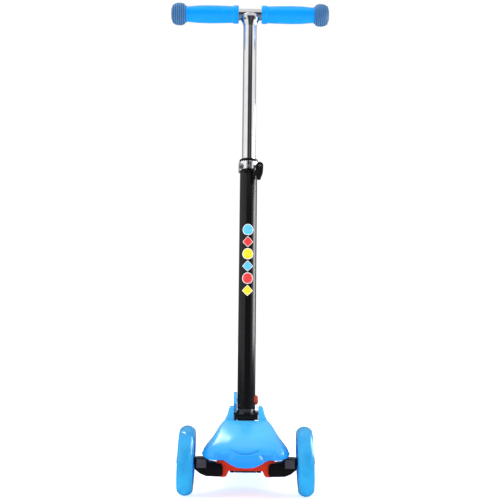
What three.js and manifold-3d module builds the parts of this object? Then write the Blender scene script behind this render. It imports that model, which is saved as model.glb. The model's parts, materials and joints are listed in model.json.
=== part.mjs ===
// Three-wheeled lean-to-steer kick scooter for small children, in millimetres.
// The scooter faces -Y, +X is the side of the release button, +Z is up and the floor is z = 0.
// Everything is laid out from the point on the floor under the front wheels, and moved once at the end
// so that the origin is the middle of the foot of the whole scooter's box.
import * as THREE from "three";
import * as BufferGeometryUtils from "three/addons/utils/BufferGeometryUtils.js";
import Module from "manifold-3d";

const wasm = await Module();
wasm.setup();

// ---- driving dimensions -------------------------------------------------------------------------
const GAP = 0.3; // between pieces that touch

const FRONT_WHEEL_R = 60;
const FRONT_WHEEL_W = 27;
const TREAD_CROWN = 16; // radius of the rounded tread
const HALF_TRACK = 103;
const CAMBER = THREE.MathUtils.degToRad(2);
const FRONT_WHEEL_Z = (FRONT_WHEEL_R - TREAD_CROWN) * Math.cos(CAMBER) + TREAD_CROWN;
const REAR_WHEEL_R = 40;
const REAR_WHEEL_W = 24;
const REAR_AXLE_Y = 420;

const BEARING_R = 11;
const BEARING_W = 7;
const AXLE_R = 4;

const PIVOT_Z = 60; // the lean pivot crosses the front wheels' plane at this height
const PIVOT_SLOPE = THREE.MathUtils.degToRad(20); // it runs down towards the rear
const KINGPIN_R = 5;
const BOSS_R = 15;

const ARM_END = HALF_TRACK - FRONT_WHEEL_W / 2 - 1.5;
const ARM_FRONT = -21;
const ARM_REAR = 14;
const SHELL_HALF_W = 50.5;
const SHELL_HALF_D = 16;
const BEAM_BOTTOM = 48.5;
const BEAM_TOP = 66;

const BRACKET_W = 38;
const BRACKET_T = 4;
const BRACKET_TOP = 95;
const CHEEK_FRONT = -27; // the bracket's upright cheeks, in front of the truck's beam and behind it
const CHEEK_REAR = 24;
const TONGUE_END = 112;
const TOWER_HALF_W = 15; // the tower under the hinge steps down behind, where the post's foot swings past
const TOWER_REAR = 42;
const TOWER_STEP_Y = 30;
const TOWER_STEP_Z = 121;

const DECK_TOP = 64;
const DECK_BOTTOM = 40;
const DECK_HALF_W = 52;
const DECK_FRONT = 44;
const LEG_INNER = 17.5;
const LEG_OUTER = 31;
const WHEEL_WELL = 372;
const MAT_FRONT = 104;
const MAT_REAR = 346;
const MAT_HALF_W = 43;
const MAT_RECESS = 1.5;
const MAT_TOP = DECK_TOP + 1.2;

const HINGE_Y = 34;
const HINGE_Z = 140;
const HINGE_BOLT_R = 4;
const HINGE_HEAD_R = 6.8;
const BLOCK_BOTTOM = 12; // below the hinge's axis
const BLOCK_HALF_W = 20.9;

const HOUSING_WALL = 3;
const WIDEST_AT = 0.34; // where the housing is widest, as a share of its length from the front
const EAR_INNER = 21.7;
const EAR_SEAT = 25.5; // the hinge bolt's head and nut are sunk in the ears to here

const LATCH_INNER = 16.7; // the latch plate's faces, towards -X
const LATCH_OUTER = 22.4;
const LATCH_FRONT = 61; // its column stands behind the hinge
const LATCH_REAR = 72;
const LATCH_TOP = 174.5;

const BUTTON_R = 8.5;
const BUTTON_FACE = 21;
const PIN_R = 2.8; // the lock pin that the button pushes across the tube

const BRAKE_PIN_Y = 370;
const BRAKE_PIN_Z = 69.5;
const BRAKE_PIN_R = 2.5;
const BRAKE_ARCH_R = 47.5;
const BRAKE_ARCH_T = 3.5;
const BRAKE_HALF_W = 21;

const COVER_SCREW_X = 34;
const COVER_SCREW_Y = 71;
const DECK_SCREWS_Y = [60, 96];
const SHELL_SCREW_X = 23;
const SHELL_SCREW_Y = -8;

const POST_LEAN = THREE.MathUtils.degToRad(8);

// Heights along the post, from the hinge's axis.
const LOWER_TUBE_FOOT = 6.5;
const BUTTON_AT = 22.5;
const LOWER_TUBE_TOP = 460;
const COLLAR_FOOT = 442.5;
const SKEWER_AT = 448;
const LUG_TOP = 455.5; // the collar's lugs stop short of its top
const BUSH_FOOT = 420;
const UPPER_TUBE_FOOT = 318;
const CROSSBAR_AT = 757.5;

const LOWER_TUBE_R = 16;
const LOWER_TUBE_BORE = 13.4;
const UPPER_TUBE_R = 12.7;
const UPPER_TUBE_BORE = 11.2;
const CROSSBAR_R = 11;
const CROSSBAR_HALF = 140;
const GRIP_HALF = 151;
const GRIP_START = 22;

// The clamp's skewer and lever, seen along the post.
const COLLAR_R = 19;
const LUG_FRONT = -27.5;
const LUG_HALF = 12;
const SKEWER_Y = -22;
const SKEWER_R = 2.5;
const SLIT = 1;
const LEVER_X = 20;
const LEVER_HEAD = 7;
const LEVER_REAR = -17;
const LEVER_FOOT = SKEWER_AT - 26.2;

// ---- materials ----------------------------------------------------------------------------------
function plain(color, roughness, metalness) {
  return new THREE.MeshStandardMaterial({ color, roughness, metalness });
}

const BLUE = plain(0x2fa4f5, 0.35, 0);
const PALE_BLUE = plain(0x8fd0f7, 0.4, 0);
const GRIP_BLUE = plain(0x149fec, 0.6, 0);
const CLEAR_BLUE = plain(0x3db8f0, 0.15, 0);
const RED = plain(0xdc2a08, 0.4, 0);
const BLACK = plain(0x17171a, 0.5, 0);
const BLACK_PAINT = plain(0x101013, 0.3, 0.2);
const RUBBER = plain(0x1c1c1e, 0.9, 0);
const CHROME = plain(0xd9dade, 0.12, 1);
const STEEL = plain(0x9fa3a8, 0.35, 1);

// ---- shape helpers ------------------------------------------------------------------------------
function solid(geometry) {
  const bare = geometry.index ? geometry.toNonIndexed() : geometry.clone();
  bare.deleteAttribute("normal");
  bare.deleteAttribute("uv");
  const merged = BufferGeometryUtils.mergeVertices(bare, 1e-4);
  const vertProperties = new Float32Array(merged.attributes.position.array);
  const triVerts = new Uint32Array(merged.index.array);
  return new wasm.Manifold(new wasm.Mesh({ numProp: 3, vertProperties, triVerts }));
}

function geometryOf(body) {
  const mesh = body.getMesh();
  const geometry = new THREE.BufferGeometry();
  geometry.setAttribute("position", new THREE.BufferAttribute(new Float32Array(mesh.vertProperties), 3));
  geometry.setIndex(new THREE.BufferAttribute(new Uint32Array(mesh.triVerts), 1));
  geometry.computeVertexNormals();
  return geometry;
}

const join = (...bodies) => bodies.reduce((whole, body) => whole.add(body));
const cut = (body, ...tools) => tools.reduce((rest, tool) => rest.subtract(tool), body);

// A box from its lowest corner to its highest.
function block(x0, y0, z0, x1, y1, z1) {
  const box = new THREE.BoxGeometry(x1 - x0, y1 - y0, z1 - z0);
  return solid(box.translate((x0 + x1) / 2, (y0 + y1) / 2, (z0 + z1) / 2));
}

// A turned body about X, Y or Z. Its profile is a list of [radius, distance along the axis],
// going anticlockwise around the material as drawn with the radius to the right.
function turned(profile, axis = "z", sides = 20) {
  const lathe = new THREE.LatheGeometry(
    profile.map(([radius, along]) => new THREE.Vector2(radius, along)),
    sides,
  );
  const turn = { x: () => lathe.rotateZ(-Math.PI / 2), y: () => lathe, z: () => lathe.rotateX(Math.PI / 2) };
  return solid(turn[axis]());
}

function rod(radius, from, to, axis = "z", sides = 16) {
  return turned([[0, from], [radius, from], [radius, to], [0, to]], axis, sides);
}

function sleeve(outer, bore, from, to, axis = "z", sides = 20) {
  return turned([[bore, from], [outer, from], [outer, to], [bore, to], [bore, from]], axis, sides);
}

function moved(body, x, y, z) {
  return body.translate([x, y, z]);
}

const UV_TO_YZ = new THREE.Matrix4().set(0, 0, 1, 0, 1, 0, 0, 0, 0, 1, 0, 0, 0, 0, 0, 1);
const UV_TO_XZ = new THREE.Matrix4().set(1, 0, 0, 0, 0, 0, -1, 0, 0, 1, 0, 0, 0, 0, 0, 1);

// A flat outline, as [u, v] points or a THREE.Shape, pushed through along one axis from a to b.
function pushed(outline, axis, a, b, curveSegments = 5) {
  const shape = outline instanceof THREE.Shape
    ? outline
    : new THREE.Shape(outline.map(([u, v]) => new THREE.Vector2(u, v)));
  const geometry = new THREE.ExtrudeGeometry(shape, { depth: b - a, bevelEnabled: false, curveSegments });
  geometry.translate(0, 0, a);
  if (axis === "x") geometry.applyMatrix4(UV_TO_YZ);
  if (axis === "y") geometry.applyMatrix4(UV_TO_XZ);
  return solid(geometry);
}

// For an outline pushed along Y, a and b are given from front to rear.
const pushedBack = (outline, front, rear) => pushed(outline, "y", -rear, -front);

// A coil spring along Z, drawn with its turns apart.
function coil(radius, wire, from, to, turns) {
  class Helix extends THREE.Curve {
    getPoint(t, target = new THREE.Vector3()) {
      const angle = 2 * Math.PI * turns * t;
      return target.set(radius * Math.cos(angle), radius * Math.sin(angle), from + (to - from) * t);
    }
  }
  const section = new THREE.Shape().absarc(0, 0, wire, 0, 2 * Math.PI);
  return solid(
    new THREE.ExtrudeGeometry(section, {
      steps: 8 * turns,
      curveSegments: 2,
      bevelEnabled: false,
      extrudePath: new Helix(),
    }),
  );
}

// A closed skin over a stack of level rings that all have the same number of points.
function lofted(rings) {
  const count = rings[0].length;
  const points = rings.flat();
  const triangles = [];
  for (let level = 0; level + 1 < rings.length; level++) {
    for (let i = 0; i < count; i++) {
      const a = level * count + i;
      const b = level * count + ((i + 1) % count);
      triangles.push(a, b, b + count, a, b + count, a + count);
    }
  }
  const top = (rings.length - 1) * count;
  for (let i = 1; i + 1 < count; i++) {
    triangles.push(0, i + 1, i);
    triangles.push(top, top + i, top + i + 1);
  }
  const geometry = new THREE.BufferGeometry();
  geometry.setAttribute("position", new THREE.Float32BufferAttribute(points.flat(), 3));
  geometry.setIndex(triangles);
  return solid(geometry);
}

// ---- assembly helpers ---------------------------------------------------------------------------
const scooter = new THREE.Group();

function group(parent) {
  const made = new THREE.Group();
  parent.add(made);
  return made;
}

function add(parent, name, material, body) {
  const mesh = new THREE.Mesh(geometryOf(body), material);
  mesh.name = name;
  parent.add(mesh);
}

function hexHead(radius, from, to, axis) {
  return rod(radius, from, to, axis, 6);
}

// ---- wheels -------------------------------------------------------------------------------------
// A wheel turns about X, with its middle at the origin and its outer side towards +X.
function tyre(radius, width, bore, crown) {
  const half = width / 2;
  const reach = Math.asin(Math.min(1, half / crown));
  const profile = [[bore, -half]];
  const steps = 6;
  for (let i = 0; i <= steps; i++) {
    const angle = -reach + (2 * reach * i) / steps;
    profile.push([radius - crown + crown * Math.cos(angle), crown * Math.sin(angle)]);
  }
  profile.push([bore, half], [bore, -half]);
  return turned(profile, "x", 32);
}

function hub(rim, width) {
  const half = width / 2;
  const barrel = BEARING_R + 3.5;
  const seat = BEARING_R + 0.2;
  const shoulder = seat - 2;
  const inner = half - 1.5 - BEARING_W;
  return turned(
    [
      [shoulder, -inner], [seat, -inner], [seat, -half], [barrel, -half], [barrel, -5], [rim - 5, -5],
      [rim - 5, -half], [rim, -half], [rim, -4], [rim - 3, -4], [rim - 3, 4], [rim, 4], [rim, half],
      [rim - 5, half], [rim - 5, 5], [barrel, 5], [barrel, half], [seat, half], [seat, inner],
      [shoulder, inner], [shoulder, -inner],
    ],
    "x",
    20,
  );
}

function bearing(side, width) {
  const outer = side * (width / 2 - 1.5);
  const inner = side * (width / 2 - 1.5 - BEARING_W + GAP);
  return sleeve(BEARING_R - 0.1, AXLE_R + 0.1, Math.min(outer, inner), Math.max(outer, inner), "x", 20);
}

function bearingSpacer(width) {
  const half = width / 2 - 1.5 - BEARING_W - GAP;
  return sleeve(AXLE_R + 2.5, AXLE_R + 0.2, -half, half, "x", 16);
}

function addWheel(parent, name, radius, width, rim) {
  add(parent, `${name}_tyre`, CLEAR_BLUE, tyre(radius, width, rim + GAP, Math.max(TREAD_CROWN, width / 2)));
  add(parent, `${name}_hub`, BLUE, hub(rim, width));
  add(parent, `${name}_inner_bearing`, STEEL, bearing(-1, width));
  add(parent, `${name}_outer_bearing`, STEEL, bearing(1, width));
  add(parent, `${name}_spacer`, STEEL, bearingSpacer(width));
}

// ---- truck: the beam that carries the front wheels, which the rest of the scooter leans over ------
// The front view of one arm: a boxy outer end, sloping down to a rounded inner end.
function armOutline() {
  const shape = new THREE.Shape();
  shape.moveTo(ARM_END, 48);
  shape.lineTo(ARM_END, 66);
  shape.lineTo(69, 66.8);
  shape.lineTo(64.5, 59.5);
  shape.lineTo(50, 57.5);
  shape.quadraticCurveTo(39, 56, 39, 46);
  shape.quadraticCurveTo(39, 36, 48, 35.3);
  shape.lineTo(68, 36);
  shape.lineTo(78, 40);
  return shape;
}

// A body made about the pivot's own axis, which is Y before it is sloped.
function onPivot(body) {
  return body.rotate([THREE.MathUtils.radToDeg(-PIVOT_SLOPE), 0, 0]).translate([0, 0, PIVOT_Z]);
}

function axleLine(side, body) {
  const tilt = THREE.MathUtils.radToDeg(-CAMBER) * side;
  return body.rotate([0, tilt, 0]).translate([side * HALF_TRACK, 0, FRONT_WHEEL_Z]);
}

// Outboard of the red shell the arm is full depth, and its inner end is a cap in front of the shell.
function arm() {
  const beyondShell = block(SHELL_HALF_W + 0.8, -40, 0, 200, 40, 100);
  const outboard = pushedBack(armOutline(), ARM_FRONT, ARM_REAR).intersect(beyondShell);
  const cap = pushedBack(armOutline(), ARM_FRONT, -SHELL_HALF_D - 0.5);
  return join(outboard, cap);
}

// The same body on both sides of the middle.
function bothSides(body, x, y, z) {
  return [moved(body, -x, y, z), moved(body, x, y, z)];
}

function shellScrewHoles() {
  return bothSides(rod(2.4, 40, 57.5, "z", 12), SHELL_SCREW_X, SHELL_SCREW_Y, 0);
}

function truckBeam() {
  const right = arm();
  const bar = block(-55, -12, BEAM_BOTTOM, 55, 12, 57);
  const rib = block(-34, -8, 56, 34, 8, BEAM_TOP);
  const boss = onPivot(rod(BOSS_R, -15, 15, "y", 20));
  const bore = onPivot(rod(BOSS_R - 6, -25, 25, "y", 20));
  const spigots = [axleLine(-1, rod(6.5, 12.3, 20, "x", 16)), axleLine(1, rod(6.5, -20, -12.3, "x", 16))];
  const holes = [axleLine(-1, rod(4.3, 0, 48, "x", 16)), axleLine(1, rod(4.3, -48, 0, "x", 16))];
  const beam = join(right, right.mirror([1, 0, 0]), bar, rib, boss, ...spigots);
  return cut(beam, bore, ...holes, ...shellScrewHoles());
}

// The red shell under the beam: two round lobes around the arms' inner ends and a raised middle.
function underbodyOutline(inset) {
  const floor = 34.3 + inset;
  const middle = 45 + inset;
  const side = SHELL_HALF_W - inset;
  const shape = new THREE.Shape();
  shape.moveTo(-side, 62);
  shape.lineTo(-side, 44);
  shape.quadraticCurveTo(-side, floor, -41, floor);
  shape.quadraticCurveTo(-33 - inset, floor, -29, middle);
  shape.lineTo(29, middle);
  shape.quadraticCurveTo(33 + inset, floor, 41, floor);
  shape.quadraticCurveTo(side, floor, side, 44);
  shape.lineTo(side, 62);
  return shape;
}

function underbodyShell() {
  const wall = 2.4;
  const depth = SHELL_HALF_D;
  const skin = pushedBack(underbodyOutline(0), -depth, depth);
  const inside = cut(
    pushedBack(underbodyOutline(wall), -depth + wall, depth - wall),
    block(-28, -20, 30, 28, 20, 45 + wall),
  );
  const aboveMiddle = block(-32, -20, 57, 32, 20, 70);
  const barSpace = block(-60, -12.5, BEAM_BOTTOM - 0.5, 60, 12.5, 70);
  const ribSpace = block(-36, -8.5, 50, 36, 8.5, 70);
  const bossSpace = onPivot(rod(BOSS_R + 0.6, -30, 30, "y", 20));
  return cut(skin, inside, aboveMiddle, barSpace, ribSpace, bossSpace, ...shellScrewHoles());
}

function underbodyScrew() {
  return join(rod(4.2, 41.2, 44.7, "z", 16), rod(2.1, 44, 56.5, "z", 12));
}

function axleBolt() {
  return join(rod(AXLE_R - 0.2, -40, 13, "x", 16), hexHead(6.5, 12.3, 17, "x"));
}

const truck = group(scooter);
add(truck, "truck_beam", BLACK, truckBeam());
add(truck, "underbody_shell", RED, underbodyShell());
add(truck, "underbody_screw_left", BLACK, moved(underbodyScrew(), -SHELL_SCREW_X, SHELL_SCREW_Y, 0));
add(truck, "underbody_screw_right", BLACK, moved(underbodyScrew(), SHELL_SCREW_X, SHELL_SCREW_Y, 0));
add(truck, "lean_spring_bush", RUBBER, onPivot(sleeve(BOSS_R - 6.3, KINGPIN_R + GAP, -15, 15, "y", 20)));

for (const [name, side] of [["left", -1], ["right", 1]]) {
  const corner = group(truck);
  corner.position.set(side * HALF_TRACK, 0, FRONT_WHEEL_Z);
  corner.rotation.y = -CAMBER * side;
  corner.scale.x = side;
  const rim = 36;
  addWheel(corner, `${name}_wheel`, FRONT_WHEEL_R, FRONT_WHEEL_W, rim);
  add(corner, `${name}_wheel_light_ring`, PALE_BLUE, sleeve(rim, rim - 2.7, -3.7, 3.7, "x", 20));
  add(corner, `${name}_axle_bolt`, STEEL, axleBolt());
}

// ---- chassis ------------------------------------------------------------------------------------
// The side view of the bent steel strip, as its upper and outer line from front to rear.
function bracket() {
  const t = BRACKET_T;
  const strip = [
    [CHEEK_FRONT, 56], [CHEEK_FRONT, BRACKET_TOP], [CHEEK_REAR, BRACKET_TOP],
    [CHEEK_REAR, DECK_BOTTOM - GAP], [TONGUE_END, DECK_BOTTOM - GAP], [TONGUE_END, DECK_BOTTOM - GAP - t],
    [CHEEK_REAR - t, DECK_BOTTOM - GAP - t], [CHEEK_REAR - t, BRACKET_TOP - t],
    [CHEEK_FRONT + t, BRACKET_TOP - t], [CHEEK_FRONT + t, 56],
  ];
  const half = BRACKET_W / 2;
  const tower = join(
    block(-TOWER_HALF_W, CHEEK_REAR, BRACKET_TOP - 30, TOWER_HALF_W, TOWER_REAR, TOWER_STEP_Z),
    block(-TOWER_HALF_W, CHEEK_REAR, BRACKET_TOP, TOWER_HALF_W, TOWER_STEP_Y, HINGE_Z - BLOCK_BOTTOM - GAP),
  );
  const pivotHole = onPivot(rod(KINGPIN_R + 0.3, -60, 60, "y", 20));
  const screwHoles = DECK_SCREWS_Y.map((y) => moved(rod(3.3, 30, 45, "z", 16), 0, y, 0));
  return cut(join(pushed(strip, "x", -half, half), tower), pivotHole, ...screwHoles);
}

function kingpin() {
  const head = hexHead(9, -38, -32.5, "y");
  const shank = rod(KINGPIN_R, -34, 37, "y", 20);
  return onPivot(join(head, shank));
}

function kingpinNut() {
  return onPivot(cut(hexHead(9, 29.3, 35, "y"), rod(KINGPIN_R + 0.2, 20, 40, "y", 20)));
}

// The housing's levels: height, half width, front and rear, and how square its plan is.
const HOUSING_LEVELS = [
  [46, 71, -50, 70, 3.4],
  [62, 75, -57, 76, 3.4],
  [75, 76, -59, 80, 3.4],
  [88, 68, -54, 78, 3.0],
  [100, 58.5, -42, 72, 2.6],
  [112, 50.5, -24, 64, 2.4],
  [122, 43.5, -4, 55, 2.4],
  [127.6, 38, 12, 49, 2.4],
];

function housingRings(inset, lift) {
  const count = 26;
  return HOUSING_LEVELS.map(([z, halfWidth, front, rear, power]) => {
    const half = halfWidth - inset;
    const widest = front + WIDEST_AT * (rear - front);
    const reachFront = widest - front - inset;
    const reachRear = rear - widest - inset;
    return Array.from({ length: count }, (_, i) => {
      const angle = (2 * Math.PI * i) / count;
      const c = Math.cos(angle);
      const s = Math.sin(angle);
      const x = half * Math.sign(c) * Math.abs(c) ** (2 / power);
      const y = widest + (s < 0 ? reachFront : reachRear) * Math.sign(s) * Math.abs(s) ** (2 / power);
      return [x, y, z - lift];
    });
  });
}

// The front view of everything below the housing's lower edge: high at the tips, low at the chin.
function underHousing() {
  const edge = [
    [76, 77], [72, 72.5], [66, 69.5], [57, 67.5], [38, 67.5], [31, 64], [24, 60], [15, 56], [0, 54.5],
  ];
  const mirrored = edge.slice(0, -1).reverse().map(([x, z]) => [-x, z]);
  return [[90, 20], [90, 77], ...edge, ...mirrored, [-90, 77], [-90, 20]];
}

function ear(side) {
  const outline = [
    [EAR_INNER, 116], [EAR_INNER, 151], [28.5, 151], [30.5, 146], [33, 137], [37.5, 127], [42, 116],
  ];
  const body = pushedBack(outline, 21, 47);
  return side > 0 ? body : body.mirror([1, 0, 0]);
}

function frontHousing() {
  const skin = lofted(housingRings(0, 0));
  const inside = lofted(housingRings(HOUSING_WALL, HOUSING_WALL));
  const shell = join(cut(skin, inside), ear(-1), ear(1));
  const armSpaces = [-1, 1].map((side) => block(side * 64 - 26, -26, 30, side * 64 + 26, 23, 83));
  const deckSpace = block(-70, 30, 20, 70, 100, DECK_TOP + 2.5);
  const blockSpace = block(-EAR_INNER, 14, 124, EAR_INNER, 80, 170);
  const towerSpace = block(-TOWER_HALF_W - 0.5, CHEEK_REAR - 1, 100, TOWER_HALF_W + 0.5, TOWER_REAR + 1, 130);
  const sinks = [rod(7.2, -60, -EAR_SEAT, "x", 16), rod(7.2, EAR_SEAT, 60, "x", 16)];
  const bolt = moved(join(rod(HINGE_BOLT_R + 0.3, -60, 60, "x", 16), ...sinks), 0, HINGE_Y, HINGE_Z);
  const latch = block(-LATCH_OUTER - 0.4, LATCH_FRONT - 0.4, 90, -LATCH_INNER + 0.4, LATCH_REAR + 0.4, 130);
  const below = pushedBack(underHousing(), -80, 100);
  const trimmed = cut(shell, below, ...armSpaces, deckSpace, blockSpace, towerSpace);
  const posts = bothSides(rod(5, DECK_TOP + 2.5, 84, "z", 16), COVER_SCREW_X, COVER_SCREW_Y, 0);
  const holes = bothSides(rod(2.1, 60, 78, "z", 12), COVER_SCREW_X, COVER_SCREW_Y, 0);
  return cut(join(trimmed, ...posts), bolt, latch, ...holes);
}

function coverScrew(side) {
  const head = rod(4, 36.8, DECK_BOTTOM - GAP, "z", 16);
  return moved(join(head, rod(1.8, 39, 76, "z", 12)), side * COVER_SCREW_X, COVER_SCREW_Y, 0);
}

// The latch plate stands beside the post: a column behind the hinge and an arm that reaches forward,
// with a track through which the lock pin leaves when the post folds.
function latchPlate() {
  const shape = new THREE.Shape();
  shape.moveTo(LATCH_REAR, 96);
  shape.lineTo(LATCH_REAR, 166);
  shape.quadraticCurveTo(LATCH_REAR, LATCH_TOP, 62, LATCH_TOP);
  shape.lineTo(32, LATCH_TOP);
  shape.lineTo(27, LATCH_TOP - 6);
  shape.lineTo(27, 155);
  shape.lineTo(LATCH_FRONT, 155);
  shape.lineTo(LATCH_FRONT, 96);
  const plate = pushed(shape, "x", -LATCH_OUTER, -LATCH_INNER);
  const reach = BUTTON_AT;
  const track = new THREE.Shape();
  const start = Math.PI / 2 - POST_LEAN;
  const half = PIN_R + 2 * GAP;
  track.absarc(0, 0, reach + half, 0.2, start, false);
  track.absarc(0, 0, reach - half, start, 0.2, true);
  const lane = pushed(track, "x", -30, -10, 10);
  const seat = moved(rod(half, -30, -10, "x", 16), 0, reach * Math.sin(POST_LEAN), reach * Math.cos(POST_LEAN));
  return cut(plate, moved(join(lane, seat), 0, HINGE_Y, HINGE_Z));
}

function hingeBolt() {
  const shank = rod(HINGE_BOLT_R, -30, 27, "x", 16);
  const head = rod(HINGE_HEAD_R, EAR_SEAT + GAP, EAR_SEAT + 4.3, "x", 16);
  return moved(join(shank, head), 0, HINGE_Y, HINGE_Z);
}

function hingeNut() {
  const nut = hexHead(HINGE_HEAD_R, -EAR_SEAT - 4.3, -EAR_SEAT - GAP, "x");
  const thread = rod(HINGE_BOLT_R + 0.2, -50, -20, "x", 16);
  return moved(cut(nut, thread), 0, HINGE_Y, HINGE_Z);
}

const chassis = group(scooter);
add(chassis, "chassis_bracket", STEEL, bracket());
add(chassis, "kingpin", STEEL, kingpin());
add(chassis, "kingpin_nut", STEEL, kingpinNut());
add(chassis, "front_housing", BLUE, frontHousing());
add(chassis, "cover_screw_left", STEEL, coverScrew(-1));
add(chassis, "cover_screw_right", STEEL, coverScrew(1));
add(chassis, "latch_plate", PALE_BLUE, latchPlate());

// ---- deck, rear wheel and brake -------------------------------------------------------------------
// One side of the deck's plan, front to rear, mirrored to close it.
function deckPlan() {
  const right = [
    [37, DECK_FRONT], [40, 60], [48, 92], [DECK_HALF_W, 120], [DECK_HALF_W, 250], [49, 310], [42, 355],
    [LEG_OUTER, 385], [LEG_OUTER, REAR_AXLE_Y + 2], [LEG_OUTER - 3, REAR_AXLE_Y + 14],
    [LEG_INNER, REAR_AXLE_Y + 16], [LEG_INNER, WHEEL_WELL],
  ];
  return [...right, ...right.slice().reverse().map(([x, y]) => [-x, y])];
}

function deck() {
  const board = pushed(deckPlan(), "z", DECK_BOTTOM, DECK_TOP);
  const legs = [-1, 1].map((side) => {
    const outline = new THREE.Shape();
    outline.moveTo(385, DECK_BOTTOM + 1);
    outline.lineTo(REAR_AXLE_Y - 9, 32);
    outline.quadraticCurveTo(REAR_AXLE_Y, 28, REAR_AXLE_Y + 9, 32);
    outline.lineTo(REAR_AXLE_Y + 13, DECK_BOTTOM + 1);
    outline.lineTo(REAR_AXLE_Y + 13, DECK_BOTTOM + 8);
    outline.lineTo(385, DECK_BOTTOM + 8);
    const leg = pushed(outline, "x", LEG_INNER, LEG_OUTER - 3);
    return side > 0 ? leg : leg.mirror([1, 0, 0]);
  });
  const brakeLugs = [-1, 1].map((side) => {
    const lug = pushed([[363, 60], [364, 76], [376, 76], [382, 60]], "x", 21.5, 28.5);
    return side > 0 ? lug : lug.mirror([1, 0, 0]);
  });
  const pocketFloor = DECK_TOP - 5;
  const pockets = [];
  for (const [front, rear] of [[125, 195], [201, 271], [277, 340]]) {
    for (const side of [-1, 1]) {
      const half = front > 270 ? 38 : 46;
      const pocket = block(3, front, DECK_BOTTOM - 5, half, rear, pocketFloor);
      pockets.push(side > 0 ? pocket : pocket.mirror([1, 0, 0]));
    }
  }
  const matHalf = MAT_HALF_W + GAP;
  const recess = block(-matHalf, MAT_FRONT - GAP, DECK_TOP - MAT_RECESS, matHalf, MAT_REAR + GAP, 80);
  const axle = moved(rod(AXLE_R + 0.3, -50, 50, "x", 16), 0, REAR_AXLE_Y, REAR_WHEEL_R);
  const pin = moved(rod(BRAKE_PIN_R + 0.3, -50, 50, "x", 16), 0, BRAKE_PIN_Y, BRAKE_PIN_Z);
  const screws = DECK_SCREWS_Y.map((y) => moved(rod(3.3, 30, 56, "z", 16), 0, y, 0));
  const coverScrews = bothSides(rod(2.1, 30, 80, "z", 12), COVER_SCREW_X, COVER_SCREW_Y, 0);
  return cut(join(board, ...legs, ...brakeLugs), ...pockets, recess, axle, pin, ...screws, ...coverScrews);
}

function deckMat() {
  return block(-MAT_HALF_W, MAT_FRONT, DECK_TOP - MAT_RECESS + GAP, MAT_HALF_W, MAT_REAR, MAT_TOP);
}

function deckScrew(y) {
  const head = rod(6, 31.5, DECK_BOTTOM - 2 * GAP - BRACKET_T, "z", 16);
  return moved(join(head, rod(3, 34, 55, "z", 16)), 0, y, 0);
}

// The brake is an arched mudguard that the rider's heel presses on to the rear wheel.
function arch(inner, outer, fromDegrees, toDegrees, half, segments) {
  const from = THREE.MathUtils.degToRad(fromDegrees);
  const to = THREE.MathUtils.degToRad(toDegrees);
  const shape = new THREE.Shape();
  shape.absarc(0, 0, outer, from, to, false);
  shape.absarc(0, 0, inner, to, from, true);
  return moved(pushed(shape, "x", -half, half, segments), 0, REAR_AXLE_Y, REAR_WHEEL_R);
}

function brakeFender() {
  const guard = arch(BRAKE_ARCH_R, BRAKE_ARCH_R + BRAKE_ARCH_T, 8, 138, BRAKE_HALF_W, 14);
  const neckLine = [[BRAKE_PIN_Y, 70], [BRAKE_PIN_Y, 74.5], [390, 82], [390, 76]];
  const neck = pushed(neckLine, "x", -BRAKE_HALF_W, BRAKE_HALF_W);
  const barrel = moved(rod(5, -BRAKE_HALF_W, BRAKE_HALF_W, "x", 16), 0, BRAKE_PIN_Y, BRAKE_PIN_Z);
  const bore = moved(rod(BRAKE_PIN_R + 0.3, -50, 50, "x", 16), 0, BRAKE_PIN_Y, BRAKE_PIN_Z);
  const springSpace = block(-8, BRAKE_PIN_Y - 8, BRAKE_PIN_Z - 8, 8, BRAKE_PIN_Y + 7, BRAKE_PIN_Z + 10);
  const rivet = moved(rod(2, 70, 100, "z", 12), 0, REAR_AXLE_Y, 0);
  return cut(join(guard, neck, barrel), bore, springSpace, rivet);
}

function brakePad() {
  const plate = arch(BRAKE_ARCH_R - 1.8, BRAKE_ARCH_R - GAP, 72, 108, 9, 4);
  return join(plate, moved(rod(1.7, 86.2, 92.5, "z", 12), 0, REAR_AXLE_Y, 0));
}

function brakeSpring() {
  const turns = coil(3.9, 0.7, -6.5, 6.5, 5).rotate([0, 90, 0]);
  return moved(turns, 0, BRAKE_PIN_Y, BRAKE_PIN_Z);
}

function brakePin() {
  const head = rod(4, 28.9, 31, "x", 16);
  return moved(join(rod(BRAKE_PIN_R, -30, 30, "x", 16), head), 0, BRAKE_PIN_Y, BRAKE_PIN_Z);
}

function rearAxleBolt() {
  const shank = rod(AXLE_R - 0.2, -36, 32, "x", 16);
  return moved(join(shank, hexHead(6.5, 31.4, 35.5, "x")), 0, REAR_AXLE_Y, REAR_WHEEL_R);
}

function rearAxleNut() {
  const nut = cut(hexHead(6.5, -34.8, -31.4, "x"), rod(AXLE_R, -50, -20, "x", 16));
  return moved(nut, 0, REAR_AXLE_Y, REAR_WHEEL_R);
}

add(chassis, "deck", BLUE, deck());
add(chassis, "deck_mat", RUBBER, deckMat());
add(chassis, "deck_screw_front", STEEL, deckScrew(DECK_SCREWS_Y[0]));
add(chassis, "deck_screw_rear", STEEL, deckScrew(DECK_SCREWS_Y[1]));
add(chassis, "hinge_bolt", STEEL, hingeBolt());
add(chassis, "hinge_nut", STEEL, hingeNut());
add(chassis, "rear_axle_bolt", STEEL, rearAxleBolt());
add(chassis, "rear_axle_nut", STEEL, rearAxleNut());
add(chassis, "brake_fender", BLUE, brakeFender());
add(chassis, "brake_pad", STEEL, brakePad());
add(chassis, "brake_spring", STEEL, brakeSpring());
add(chassis, "brake_pin", STEEL, brakePin());

const rearWheel = group(chassis);
rearWheel.position.set(0, REAR_AXLE_Y, REAR_WHEEL_R);
addWheel(rearWheel, "rear_wheel", REAR_WHEEL_R, REAR_WHEEL_W, 24);

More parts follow.
